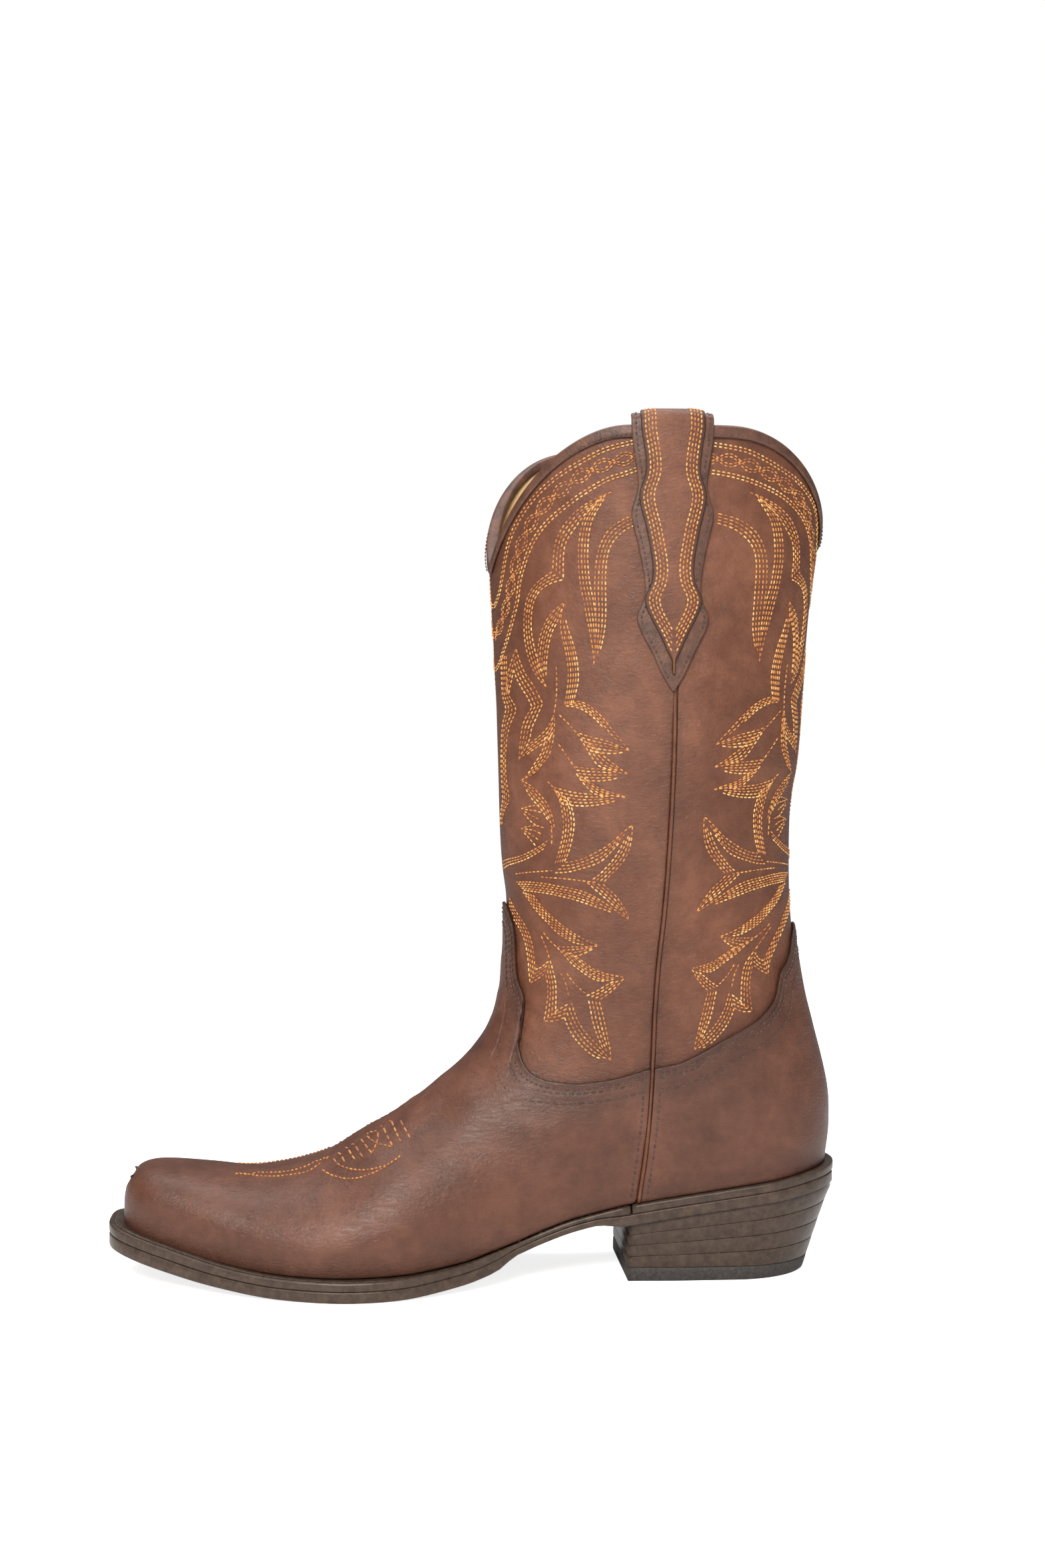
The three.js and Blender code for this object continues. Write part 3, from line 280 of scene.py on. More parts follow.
def collar_z(collar, angle):
    """Height of a collar round the shaft, its corners softened by the mean of nearby angles."""
    near = np.stack([np.interp(np.minimum(90, np.abs(angle + d)), *collar.T) for d in (-1.2, 0, 1.2)])
    return near.mean(0)


def lap_z(collar, angle):
    """Edge hidden under a cover: the lowest collar height within nine degrees, a lap's depth lower."""
    soft = np.stack([np.interp(np.minimum(90, np.abs(angle + d)), *collar.T) for d in (-9, -4.5, 0, 4.5, 9)])
    low = soft.min(0)
    return low - 11 + 0.25 * (np.interp(angle, *collar.T) - low)


def top_line_z(angle, end):
    """Height of the top line: from the dip at the centre to the rim at the seams as a sine to the power
    1.3."""
    dip = FRONT_DIP if end == "front" else BACK_DIP
    return dip + (RIM - dip) * np.sin(np.radians(np.minimum(90, 1.25 * angle))) ** 1.3


def unit(v):
    return v / np.maximum(np.linalg.norm(v, axis=-1, keepdims=True), 1e-9)


def outward(grid):
    """Normals of a grid of points: the cross product of its two running differences, turned away from the
    middle."""
    normal = unit(np.cross(np.gradient(grid, axis=0), np.gradient(grid, axis=1)))
    side = np.sign(grid[..., 1]) * (np.abs(grid[..., 1]) > 8)
    return normal * (1 if (normal[..., 1] * side).sum() > 0 else -1)


def soft_noise(seed, *fields):
    """Smooth random field of up to three coordinates, about -1 to 1: a seeded lattice of random numbers
    read at each point and eased between its corners."""
    lattice = np.random.default_rng(seed).uniform(-1, 1, (32, 32, 32))
    fields = [np.asarray(f, float) + 7.3 for f in fields] + [np.zeros_like(fields[0])] * (3 - len(fields))
    cell = [np.floor(f).astype(int) for f in fields]
    part = [smooth(f - c) for f, c in zip(fields, cell)]
    total = 0
    for corner in np.ndindex(2, 2, 2):
        weight = np.prod([p if c else 1 - p for p, c in zip(part, corner)], axis=0)
        total = total + weight * lattice[tuple((c + k) % 32 for c, k in zip(cell, corner))]
    return total


def put_mesh(name, points, faces, material, **fields):
    """A mesh object from points in millimetres and faces of vertex numbers, with one number per vertex for
    each named field, its normals turned outwards and its doubled points merged."""
    import bmesh
    mesh = bpy.data.meshes.new(name)
    mesh.from_pydata((np.asarray(points) * MM + ZERO).tolist(), [], [list(dict.fromkeys(f)) for f in faces])
    for field, values in fields.items():
        mesh.attributes.new(field, "FLOAT", "POINT").data.foreach_set("value",
                                                                      np.ravel(values).astype(np.float32))
    shape = bmesh.new()
    shape.from_mesh(mesh)
    bmesh.ops.remove_doubles(shape, verts=shape.verts, dist=2e-6)
    bmesh.ops.recalc_face_normals(shape, faces=shape.faces)
    shape.to_mesh(mesh)
    shape.free()
    mesh.shade_smooth()
    mesh.materials.append(material)
    piece = bpy.data.objects.new(name, mesh)
    bpy.context.collection.objects.link(piece)
    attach(piece, "root")
    return piece


def quads(numbers):
    """Quads between neighbours of a grid of vertex numbers."""
    return np.stack([numbers[:-1, :-1], numbers[:-1, 1:], numbers[1:, 1:], numbers[1:, :-1]], -1).reshape(-1,
                                                                                                          4)


def leather_piece(name, outer, inner, material, round_by=0.5, zipped=False, burnish=None):
    """A piece of leather between two grids, with a rounded edge: three rings run round the border from the
    outer face to the inner one on half an ellipse. A zipped piece has no edge on its first row, where its
    halves meet."""
    rows, columns = outer.shape[:2]
    number = np.arange(rows * columns).reshape(rows, columns)
    border = [number[::-1, 0], number[0, 1:], number[1:, -1], number[-1, -2:0:-1]]
    path = np.concatenate([number[:, 0], number[-1, 1:], number[-2::-1, -1]] if zipped else border)
    i, j = path // columns, path % columns
    i_in, j_in = np.clip(i, 1 - zipped, rows - 2), np.clip(j, 1, columns - 2)
    away = unit(outer[i, j] - outer[i_in, j_in])
    middle, half = (outer[i, j] + inner[i, j]) / 2, (outer[i, j] - inner[i, j]) / 2
    turns = np.radians([45, 0, -45])
    rings = [middle + round_by * np.cos(a) * away + np.sin(a) * half for a in turns]
    count = rows * columns
    ring_numbers = 2 * count + np.arange(3 * len(path)).reshape(3, len(path))
    band = np.vstack([path, ring_numbers, path + count])
    if not zipped:
        band = np.hstack([band, band[:, :1]])
    faces = np.vstack([quads(number), quads(number + count)[:, ::-1], quads(band)])
    points = np.vstack([outer.reshape(-1, 3), inner.reshape(-1, 3), *rings])
    # the outer face takes the given burnish and painted shade, the inner face and the rounded edge take the
    # full dark edge colour
    wear_and_shade = np.zeros(len(points))
    if burnish is not None:
        wear_and_shade[:count] = burnish.ravel()
        wear_and_shade[count:] = 1
    return put_mesh(name, points, faces, material, burnish=wear_and_shade)


def wire(tree, kind, *links, **settings):
    """A node in a tree, with named settings and inputs, and links given as (output, input name) pairs."""
    node = tree.nodes.new(kind)
    for key, value in settings.items():
        if hasattr(node, key):
            setattr(node, key, value)
        else:
            node.inputs[key.replace("_", " ")].default_value = value
    for source, name in links:
        tree.links.new(source, node.inputs[name])
    return node


def ramp(tree, source, *stops):
    """A colour ramp on a number, from (position, colour) stops."""
    node = wire(tree, "ShaderNodeValToRGB", (source, 0))
    scale = node.color_ramp
    while len(scale.elements) < len(stops):
        scale.elements.new(0.5)
    for element, (position, color) in zip(scale.elements, stops):
        element.position, element.color = position, (*color, 1)
    return node.outputs["Color"]


def mixed(tree, factor, low, high, mode="MIX"):
    """Mix of two colours or numbers by a factor, each a value or another node's output."""
    node = wire(tree, "ShaderNodeMix", data_type="RGBA", blend_type=mode)
    for name, value in (("Factor", factor), ("A", low), ("B", high)):
        if isinstance(value, bpy.types.NodeSocket):
            tree.links.new(value, node.inputs[name])
        else:
            node.inputs[name].default_value = (*value, 1) if isinstance(value, tuple) else value
    return node.outputs["Result"]


def counted(tree, operation, a, b=0.0):
    """Result of a sum on two numbers."""
    node = wire(tree, "ShaderNodeMath", operation=operation)
    for k, value in enumerate((a, b)):
        if isinstance(value, bpy.types.NodeSocket):
            tree.links.new(value, node.inputs[k])
        else:
            node.inputs[k].default_value = value
    return node.outputs[0]


def start_material(name, roughness=0.6):
    material = bpy.data.materials.new(name)
    material.use_nodes = True
    shader = material.node_tree.nodes["Principled BSDF"]
    shader.inputs["Roughness"].default_value = roughness
    place = material.node_tree.nodes.new("ShaderNodeTexCoord").outputs["Object"]
    return material, material.node_tree, shader, place


def noise(tree, place, scale, detail=3, rough=0.55, distortion=0.0):
    return wire(tree, "ShaderNodeTexNoise", (place, "Vector"), Scale=scale, Detail=detail, Roughness=rough,
                Distortion=distortion).outputs["Fac"]


def relief(tree, shader, height, strength, distance):
    """Bump from a height, laid over whatever bump the shader already has."""
    node = wire(tree, "ShaderNodeBump", (height, "Height"), Strength=strength, Distance=distance)
    before = shader.inputs["Normal"].links
    if before:
        tree.links.new(before[0].from_socket, node.inputs["Normal"])
    tree.links.new(node.outputs["Normal"], shader.inputs["Normal"])


def waxed_leather(name, deep, brown, light, edge, gloss=(0.42, 0.58), grain=1.0):
    """Waxed cowhide: brown that clouds from deep to light over a few centimetres and again over a few
    millimetres, with pebbled grain, pores and fine crossing wrinkles; it goes darker towards the edge colour
    where the field of burnish and painted shade is high, which holds burnished edges and painted shade."""
    material, tree, shader, place = start_material(name)
    clouds = noise(tree, place, 26, 4, 0.6, 0.6)
    mottle = noise(tree, place, 140, 5, 0.65, 0.3)
    both = counted(tree, "ADD", counted(tree, "MULTIPLY", clouds, 0.62),
                   counted(tree, "MULTIPLY", mottle, 0.38))
    color = ramp(tree, both, (0.33, deep), (0.5, brown), (0.68, light))
    cells = wire(tree, "ShaderNodeTexVoronoi", (place, "Vector"), Scale=880, feature="SMOOTH_F1",
                 Smoothness=0.4)
    pores = ramp(tree, cells.outputs["Distance"], (0.05, (0.86, 0.86, 0.86)), (0.5, (1, 1, 1)))
    color = mixed(tree, 0.6, color, pores, "MULTIPLY")
    # the attribute holds burnish at the cut edges and painted shade in creases and beside lapped edges; edge
    # is the dark colour that both are mixed towards
    burnish = wire(tree, "ShaderNodeAttribute", attribute_name="burnish").outputs["Fac"]
    color = mixed(tree, counted(tree, "MULTIPLY", burnish, 0.85), color, edge)
    tree.links.new(color, shader.inputs["Base Color"])
    rough = wire(tree, "ShaderNodeMapRange", (mottle, "Value"))
    for k, value in enumerate((0.3, 0.7, *gloss)):
        rough.inputs[k + 1].default_value = value
    tree.links.new(rough.outputs[0], shader.inputs["Roughness"])
    shader.inputs["Specular IOR Level"].default_value = 0.36
    stretched = wire(tree, "ShaderNodeMapping", (place, "Vector"))
    stretched.inputs["Scale"].default_value = (1.0, 1.0, 2.6)
    wrinkles = noise(tree, stretched.outputs[0], 210, 6, 0.62, 1.4)
    relief(tree, shader, wrinkles, 0.35 * grain, 0.0011)
    relief(tree, shader, cells.outputs["Distance"], 0.22 * grain, 0.00035)
    return material


# the fourth colour is the dark one for burnished edges and painted shade
FOOT_LEATHER = waxed_leather(
    "foot_leather", (0.064, 0.023, 0.013), (0.100, 0.038, 0.022), (0.148, 0.059, 0.035),
    (0.022, 0.010, 0.007), (0.36, 0.48)
)
FAN = np.array([-70.0, 175.0])
HALF_COLUMNS = 62
VAMP_RISE = 1.75


def polar(x, z):
    """Angle and reach of side-view points from the fan point ahead of the instep."""
    return np.arctan2(z - FAN[1], x - FAN[0]), np.hypot(x - FAN[0], z - FAN[1])


def from_polar(angle, reach):
    return FAN[0] + reach * np.cos(angle), FAN[1] + reach * np.sin(angle)


seam_rise = SEAM_LINE[SEAM_LINE[:, 1] > feather_z(SEAM_LINE[:, 0]) + 0.8]
foot_edge = FEATHER_LINE[FEATHER_LINE[:, 0] < seam_x(FEATHER_LINE[:, 1] + 0.6) - 1.65]
VAMP_FOOT = np.stack(polar(
    np.concatenate([foot_edge[:, 0], seam_rise[:, 0] - 1.15]),
    np.concatenate([foot_edge[:, 1] + 0.6, seam_rise[:, 1]])
))
ridge_angle = np.linspace(-2.1, 0, 241)
near, far = np.full(241, 20.0), np.interp(ridge_angle, *VAMP_FOOT) - 3
for _ in range(34):
    between = (near + far) / 2
    inside = fullness(*from_polar(ridge_angle, between)) > 0
    near, far = np.where(inside, near, between), np.where(inside, between, far)
VAMP_RIDGE = np.stack([ridge_angle, far])


def vamp_point(angle, girth):
    """Side-view point of the vamp at an angle of the fan and a share of the way down from the ridge to the
    foot, the share eased by a cosine."""
    foot, ridge = np.interp(angle, *VAMP_FOOT), np.interp(angle, *VAMP_RIDGE)
    return from_polar(angle, foot - (foot - ridge) * np.cos(girth * np.pi / 2))


def vamp_end(height_at):
    """Girth, fan angle and running length of an edge whose height is known round the shaft."""
    turn = np.linspace(0, 90, 181)
    z = height_at(turn)
    x = shaft_x(turn, z, "front")
    angle, reach = polar(x, z)
    foot, ridge = np.interp(angle, *VAMP_FOOT), np.interp(angle, *VAMP_RIDGE)
    girth = np.arccos(np.clip((foot - reach) / (foot - ridge), 0, 1)) * 2 / np.pi
    girth[0], girth[-1] = 0, 1
    step = np.linalg.norm(np.diff(on_boot(x, z, -1.0), axis=0), axis=1)
    length = np.concatenate([[0], np.cumsum(step)])
    rising = np.concatenate([[True], girth[1:] > np.maximum.accumulate(girth)[:-1]])
    return girth[rising], angle[rising], length[rising]


hidden_edge = vamp_end(lambda a: lap_z(VAMP_COLLAR, a) - 2.6)
collar_edge = vamp_end(lambda a: collar_z(VAMP_COLLAR, a))
steps = np.concatenate([np.linspace(0, 1, HALF_COLUMNS)[:-1], [0.994, 1.0]])
girth_half = 0.8 * np.interp(steps * collar_edge[2][-1], collar_edge[2], collar_edge[0]) + 0.2 * steps
girth_turn = np.concatenate([-girth_half[:0:-1], girth_half])
girth = np.abs(girth_turn)
low, high = np.full(girth.shape, -2.09), np.full(girth.shape, -1.8)
for _ in range(34):
    between = (low + high) / 2
    x, z = vamp_point(between, girth)
    inside = (x > TOE_WALL) & (fullness(x, z) > 0)
    low, high = np.where(inside, low, between), np.where(inside, between, high)
toe_start = high
t = np.linspace(0, 1, 215)[:, None]
pace = t**3 / (0.02 + 0.98 * t**2)
lap, end = np.interp(girth, *hidden_edge[:2]), np.interp(girth, *collar_edge[:2])
blend = np.hanning(17)
eased = np.convolve(np.pad(lap, 8, "edge"), blend / blend.sum(), "valid")
lap = np.minimum(eased, end - 0.03)
beyond = np.array([0.12, 0.24, 0.36, 0.48, 0.6, 0.7, 0.79, 0.87, 0.93, 0.97, 1.0])[:, None]
fan_angle = np.vstack([toe_start + (lap - toe_start) * pace, lap + (end - lap) * beyond])
vamp_x, vamp_z = vamp_point(fan_angle, girth)
VAMP_GRID = on_boot(vamp_x, vamp_z, np.broadcast_to(np.where(girth_turn < 0, -1.0, 1.0), vamp_x.shape))
VAMP_GRID[0, :, 1] = 0

# over the lap the vamp climbs on to the shaft; fine creases cross the instep, the vamp sags softly, and
# short pleats ruled evenly along the ridge cross the top of the foot
row_share = np.concatenate([pace[:, 0], 1 + beyond[:, 0]])[:, None]
lap_line = VAMP_GRID[np.searchsorted(row_share[:, 0], 1.0 - 1e-9)]
to_lap = np.sqrt(((VAMP_GRID[:, :, None] - lap_line[::2]) ** 2).sum(-1).min(-1))
rise = VAMP_RISE * np.where(row_share >= 1, 1.0, smooth((18 - to_lap) / 15))
vx, vy, vz = np.moveaxis(VAMP_GRID, -1, 0)
throat = np.exp(-(((vx + 12) / 42) ** 2)) * smooth((vz - 35) / 30) * smooth((row_share - 0.25) / 0.2)
creases = soft_noise(5, vx / 16 + vz / 24, vy / 22, vz / 6.5 - vx / 12) + 0.5 * soft_noise(6, vx / 8, vy / 16,
                                                                                           vz / 3.6)
swell = 0.34 * creases * throat + 0.25 * soft_noise(7, vx / 30, vy / 26, vz / 22) * smooth(row_share * 4)
along_ridge = vx - 0.62 * np.abs(vy)
in_pleats = smooth((along_ridge + 60) / 3) * smooth((-24 - along_ridge) / 3) * smooth((13 - np.abs(vy)) / 7)
swell += in_pleats * (0.55 * np.abs(np.cos(np.pi * (along_ridge + 28.5) / 4.1)) - 0.15)
to_collar = np.linalg.norm(VAMP_GRID[-1] - VAMP_GRID, axis=-1)
sewn = -0.28 * np.exp(-(((to_collar - 3.0) / 1.3) ** 2)) - 0.2 * np.exp(-(((to_collar - 8.2) / 0.9) ** 2))
VAMP_NORMAL = outward(VAMP_GRID)
vamp_lift = rise + swell * smooth(to_collar / 6) + sewn
VAMP_OUTER = VAMP_GRID + VAMP_NORMAL * vamp_lift[..., None]
VAMP_INNER = VAMP_GRID + VAMP_NORMAL * (np.minimum(rise, vamp_lift) - 1.4)[..., None]
above_feather = vz - feather_z(vx)
# burnish and painted shade: darker at the burnished collar edge, towards the welt and along the lower
# stitched row, and painted shade in the troughs of the creases across the instep
vamp_wear_and_shade = 0.75 * np.exp(-to_collar / 2.2) + 0.55 * np.exp(-above_feather / 6) + 0.35 * np.exp(
    -(((to_collar - 8) / 5) ** 2)) + 0.25 * throat * np.maximum(0, -creases)
vamp = leather_piece("vamp_cover", VAMP_OUTER, VAMP_INNER, FOOT_LEATHER, 0.4, True, np.clip(vamp_wear_and_shade, 0, 1))
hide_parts("vamp")

# ---- Heel counter cover -------------------------------------------------------------------------------
# The leather round the heel, of the same hide as the vamp. It is lasted over the stiffener and lapped over
# the back of the shaft, and meets the vamp at the side seams.
turn = np.concatenate([-steps[:0:-1], steps])
angle = 90 * np.abs(turn)
hidden = lap_z(COUNTER_COLLAR, angle) - 2.6
share = np.concatenate([np.linspace(0, 1, 46), 1 + beyond[:, 0]])[:, None]
counter_x, counter_z = shaft_x(angle, 60.0 + 0 * share, "back"), 60 + 0 * share * angle
for _ in range(8):
    base = feather_z(counter_x) + 0.6
    top = collar_z(COUNTER_COLLAR, angle)
    counter_z = np.where(share > 1, hidden + (top - hidden) * (share - 1),
                         base + (hidden - base) * np.minimum(share, 1))
    counter_x = shaft_x(angle, counter_z, "back")
COUNTER_GRID = on_boot(counter_x, counter_z, np.broadcast_to(np.where(turn < 0, -1.0, 1.0), counter_x.shape))
to_collar = np.linalg.norm(COUNTER_GRID[-1] - COUNTER_GRID, axis=-1)
rise = VAMP_RISE * smooth((share - 0.35) / 0.6)
cx, cy, cz = np.moveaxis(COUNTER_GRID, -1, 0)
swell = 0.2 * soft_noise(11, cx / 22, cy / 22, cz / 16) * smooth(to_collar / 8)
sewn = -0.28 * np.exp(-(((to_collar - 3.0) / 1.3) ** 2)) - 0.2 * np.exp(-(((to_collar - 9) / 0.9) ** 2))
normal = outward(COUNTER_GRID)
COUNTER_OUTER = COUNTER_GRID + normal * (rise + swell + sewn)[..., None]
COUNTER_INNER = COUNTER_GRID + normal * (np.minimum(rise, rise + swell + sewn) - 1.4)[..., None]
wear_and_shade = 0.75 * np.exp(-to_collar / 2.2) + 0.5 * np.exp(-(cz - feather_z(cx)) / 6) + 0.3 * np.exp(
    -(((to_collar - 8) / 5) ** 2))
counter = leather_piece("counter_cover", COUNTER_OUTER, COUNTER_INNER, FOOT_LEATHER, 0.4, False,
                        np.clip(wear_and_shade, 0, 1))
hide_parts("heel_counter_cover")

# ---- Shaft panels -------------------------------------------------------------------------------------
# The front and the back of the shaft, cut from lighter waxed hide and joined at the side seams. The
# leather hangs in slow waves and creases near the back.
# the fourth colour is the dark one for burnished edges and painted shade
SHAFT_LEATHER = waxed_leather(
    "shaft_leather", (0.076, 0.024, 0.011), (0.118, 0.041, 0.020), (0.180, 0.069, 0.036),
    (0.030, 0.012, 0.008),
    (0.38, 0.54), 1.4,
)


def shaft_lift(x, z, side):
    """How far the finished leather stands off the shaft's plain surface: long waves up the shaft, and short
    creases beside the straps."""
    wave = 0.6 * soft_noise(21, x / 26, z / 60, side + 0 * x) + 0.22 * soft_noise(22, x / 11, z / 26,
                                                                                  side + 0 * x)
    beside = np.exp(-(((x - 108) / 14) ** 2) - ((z - 275) / 26) ** 2)
    fold = soft_noise(23, (x - z * 0.5) / 5, (z + x * 0.4) / 18, side + 0 * x)
    ankle = np.exp(-(((z - 118) / 26) ** 2)) * smooth((130 - x) / 50)
    return wave + 0.75 * beside * fold + 0.3 * ankle * soft_noise(24, x / 20, z / 7, side + 0 * x)


def shaft_grid(end, low, high, rows, across):
    """Grid over the front or back of the shaft: heights share the way from a low to a high edge, and the
    columns go round from the outer seam to the inner seam."""
    a = 90 * np.abs(across)
    z = low(a) + (high(a) - low(a)) * rows[:, None]
    return on_boot(shaft_x(a, z, end), z, np.broadcast_to(np.where(across < 0, -1.0, 1.0), z.shape))


panel_rows = np.concatenate([np.linspace(0, 1, 140)[:-1] ** 1.15, [0.996, 1.0]])
across = np.concatenate([-steps[:0:-1], steps])
for end, collar, word in (("front", VAMP_COLLAR, "toe"), ("back", COUNTER_COLLAR, "heel")):
    grid = shaft_grid(end, lambda a: lap_z(collar, a), lambda a: top_line_z(a, end), panel_rows, across)
    px, pz = grid[..., 0], grid[..., 2]
    a = 90 * np.abs(across)
    over_collar = smooth((pz - collar_z(collar, a) - 2) / 12) * smooth((top_line_z(a, end) - pz) / 14)
    near_seam = smooth((1 - np.abs(across)) / 0.06)
    lift = shaft_lift(px, pz, np.sign(across) * (np.abs(across) > 0.04)) * over_collar * near_seam
    normal = outward(grid)
    outer = grid + normal * lift[..., None]
    inner = grid + normal * (lift * 0.4 - 1.8)[..., None]
    # burnish and painted shade: painted shadow on the strip just above the collar of the vamp and the
    # counter, whose edges stand over it; also darker along the side seams and towards the top line
    wear_and_shade = 0.5 * np.exp(-np.maximum(0, pz - collar_z(collar, a)) / 3.5) + 0.35 * np.exp(
        -(1 - np.abs(across)) * 90 / 3) + 0.3 * np.exp(-(top_line_z(a, end) - pz) / 9)
    panel = leather_piece(f"shaft_{end}", outer, inner, SHAFT_LEATHER, 0.45, False, np.clip(wear_and_shade, 0, 1))
    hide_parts(f"shaft_{end}_panel")

# ---- Linings ------------------------------------------------------------------------------------------
# Tan kid glued and stitched inside the shaft and the foot. It shows in the dip of the top line, a little
# yellowed and rubbed, with soft creases.


def lining_leather():
    """Pale tan kid: clouds from yellow to tan, faint vertical streaks, and a fine soft grain."""
    material, tree, shader, place = start_material("lining_leather", 0.62)
    clouds = noise(tree, place, 34, 4, 0.6, 0.5)
    color = ramp(tree, clouds, (0.3, (0.50, 0.31, 0.13)), (0.52, (0.74, 0.52, 0.25)),
                 (0.72, (0.84, 0.66, 0.38)))
    tall = wire(tree, "ShaderNodeMapping", (place, "Vector"))
    tall.inputs["Scale"].default_value = (1, 1, 0.12)
    streaks = ramp(tree, noise(tree, tall.outputs[0], 260, 3), (0.4, (0.82, 0.79, 0.75)), (0.6, (1, 1, 1)))
    tree.links.new(mixed(tree, 0.5, color, streaks, "MULTIPLY"), shader.inputs["Base Color"])
    relief(tree, shader, noise(tree, place, 900, 4), 0.25, 0.0004)
    relief(tree, shader, noise(tree, place, 60, 3, 0.5, 1.0), 0.3, 0.0015)
    return material


KID = lining_leather()
lining_rows = np.linspace(0, 1, 60)
lining_across = np.linspace(-1, 1, 81)
for end, collar in (("front", VAMP_COLLAR), ("back", COUNTER_COLLAR)):
    grid = shaft_grid(end, lambda a: lap_z(collar, a), lambda a: top_line_z(a, end) - 0.2, lining_rows,
                      lining_across)
    normal = outward(grid)
    gx, gy, gz = np.moveaxis(grid, -1, 0)
    soft = 0.35 * soft_noise(31, gx / 18, gy / 18, gz / 34)
    lining = leather_piece(f"lining_{end}", grid - normal * 2.1, grid - normal * (3.1 - soft)[..., None], KID,
                           0.2)
    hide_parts(f"shaft_lining_{end}")
# inside the foot the lining goes under the stiff toe box and on the inside of the counter stiffener
inside_foot = VAMP_GRID[row_share[:, 0] <= 1][::2]
drop = 2.7 + 2.2 * (1 - smooth((row_share[row_share <= 1][::2] - 0.39) / 0.157))[:, None, None]
normal = VAMP_NORMAL[row_share[:, 0] <= 1][::2]
foot_lining = leather_piece("lining_foot", inside_foot - normal * drop, inside_foot - normal * (drop + 1),
                            KID, 0.2, True)
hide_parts("vamp_lining")
inside_heel, normal = COUNTER_GRID[share[:, 0] <= 1], outward(COUNTER_GRID)[share[:, 0] <= 1]
heel_lining = leather_piece("lining_heel", inside_heel - normal * 4.2, inside_heel - normal * 5.2, KID, 0.2)
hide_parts("heel_lining")

# ---- Side seam beads ----------------------------------------------------------------------------------
# A rolled bead of leather let into each side seam from the welt to the rim, flat under the pull strap.
for word, side in (("lateral", -1), ("medial", 1)):
    z = np.linspace(feather_z(seam_x(36.0)) + 0.7, RIM - 1.5, 170)
    x = seam_x(z)
    y = half_width(x, z, side)
    proud = 1.25 - 1.35 * smooth((z - 232.7) / 10)
    a = np.radians(np.linspace(0, 180, 9))
    ring_x = x[:, None] + 0.78 * np.cos(a)
    ring_y = (y + proud - 0.75)[:, None] + 0.75 * np.sin(a)
    ring = np.stack([ring_x, side * ring_y, np.broadcast_to(z[:, None], ring_x.shape)], -1)
    foot = np.stack([x[:, None] + [-0.78, 0.78], side * (y[:, None] - [1.8, 1.8]), np.stack([z, z], 1)], -1)
    ring = np.concatenate([ring, foot], 1)
    number = np.arange(ring.shape[0] * ring.shape[1]).reshape(ring.shape[:2])
    faces = quads(np.hstack([number, number[:, :1]])).tolist() + [number[0].tolist(), number[-1].tolist()]
    wear_and_shade = np.broadcast_to(0.25 + 0.2 * soft_noise(41, z / 12, z / 5)[:, None], ring.shape[:2])
    bead = put_mesh(f"seam_bead_{word}", ring.reshape(-1, 3), faces, SHAFT_LEATHER, burnish=wear_and_shade)
    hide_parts(f"side_piping_{word}")

# ---- Top binding --------------------------------------------------------------------------------------
# A strip of thin chocolate leather folded over the top line, about 3.5 mm deep outside, and stitched
# through near its lower edge.


def dark_leather(name, tone, light, rough=0.5):
    """Dark chocolate leather: close mottling with lighter rubbed flecks, and a tight pebble."""
    material, tree, shader, place = start_material(name, rough)
    color = ramp(tree, noise(tree, place, 160, 5, 0.65), (0.35, tone), (0.7, light))
    tree.links.new(color, shader.inputs["Base Color"])
    cells = wire(tree, "ShaderNodeTexVoronoi", (place, "Vector"), Scale=1000, feature="SMOOTH_F1",
                 Smoothness=0.5)
    relief(tree, shader, noise(tree, place, 380, 5, 0.6, 0.8), 0.4, 0.0007)
    relief(tree, shader, cells.outputs["Distance"], 0.25, 0.0003)
    return material


CHOCOLATE = dark_leather("binding_leather", (0.052, 0.020, 0.011), (0.120, 0.048, 0.026))
for end in ("front", "back"):
    a = 90 * np.abs(across)
    grid = shaft_grid(end, lambda q: top_line_z(q, end) - 6, lambda q: top_line_z(q, end), np.array([0, 1.0]),
                      across)
    wide = shaft_grid(end, lambda q: top_line_z(q, end) - 3, lambda q: top_line_z(q, end),
                      np.array([0, 0.5, 1]), across)
    normal = outward(wide)[-1]
    up = unit(grid[1] - grid[0])
    bend = np.radians(np.linspace(0, 180, 9))
    fold = np.stack([-1.25 + 2.6 * np.cos(bend), 0.35 + 1.35 * np.sin(bend)], 1)
    section = np.vstack([[1.1, -3.5], [1.38, -3.1], [1.4, -1.8], fold, [-3.95, -1.5], [-3.9, -2.8],
                         [-3.3, -2.8],
                         [-3.2, 0.2], [0.25, 0.2], [0.25, -3.4]])
    ring = grid[1][:, None] + normal[:, None] * section[:, :1] + up[:, None] * section[:, 1:]
    number = np.arange(ring.shape[0] * ring.shape[1]).reshape(ring.shape[:2])
    faces = quads(np.hstack([number, number[:, :1]])).tolist() + [number[0].tolist(), number[-1].tolist()]
    binding = put_mesh(f"binding_{end}", ring.reshape(-1, 3), faces, CHOCOLATE)
    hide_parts(f"top_binding_{end}")

# ---- Pull straps --------------------------------------------------------------------------------------
# A waisted strap folded over the rim on each side seam: a chocolate backing with a narrower brown strap on
# it, its lower end pointed outside and tucked in as a finger loop inside.
STRAP_TIP = 246.7
STRAP_OUTLINE = spline([
    [-0.01, 0.3], [6.3, 4.1], [15.3, 8.2], [28.3, 14.2], [36.3, 11.6], [44.3, 11.1], [58.3, 13.5],
    [71.3, 16.3],
    [83.3, 13.6], [105.3, 16.3], [140, 16.3],
], 6)
STRAP_OUTLINE[:, 0] += STRAP_TIP


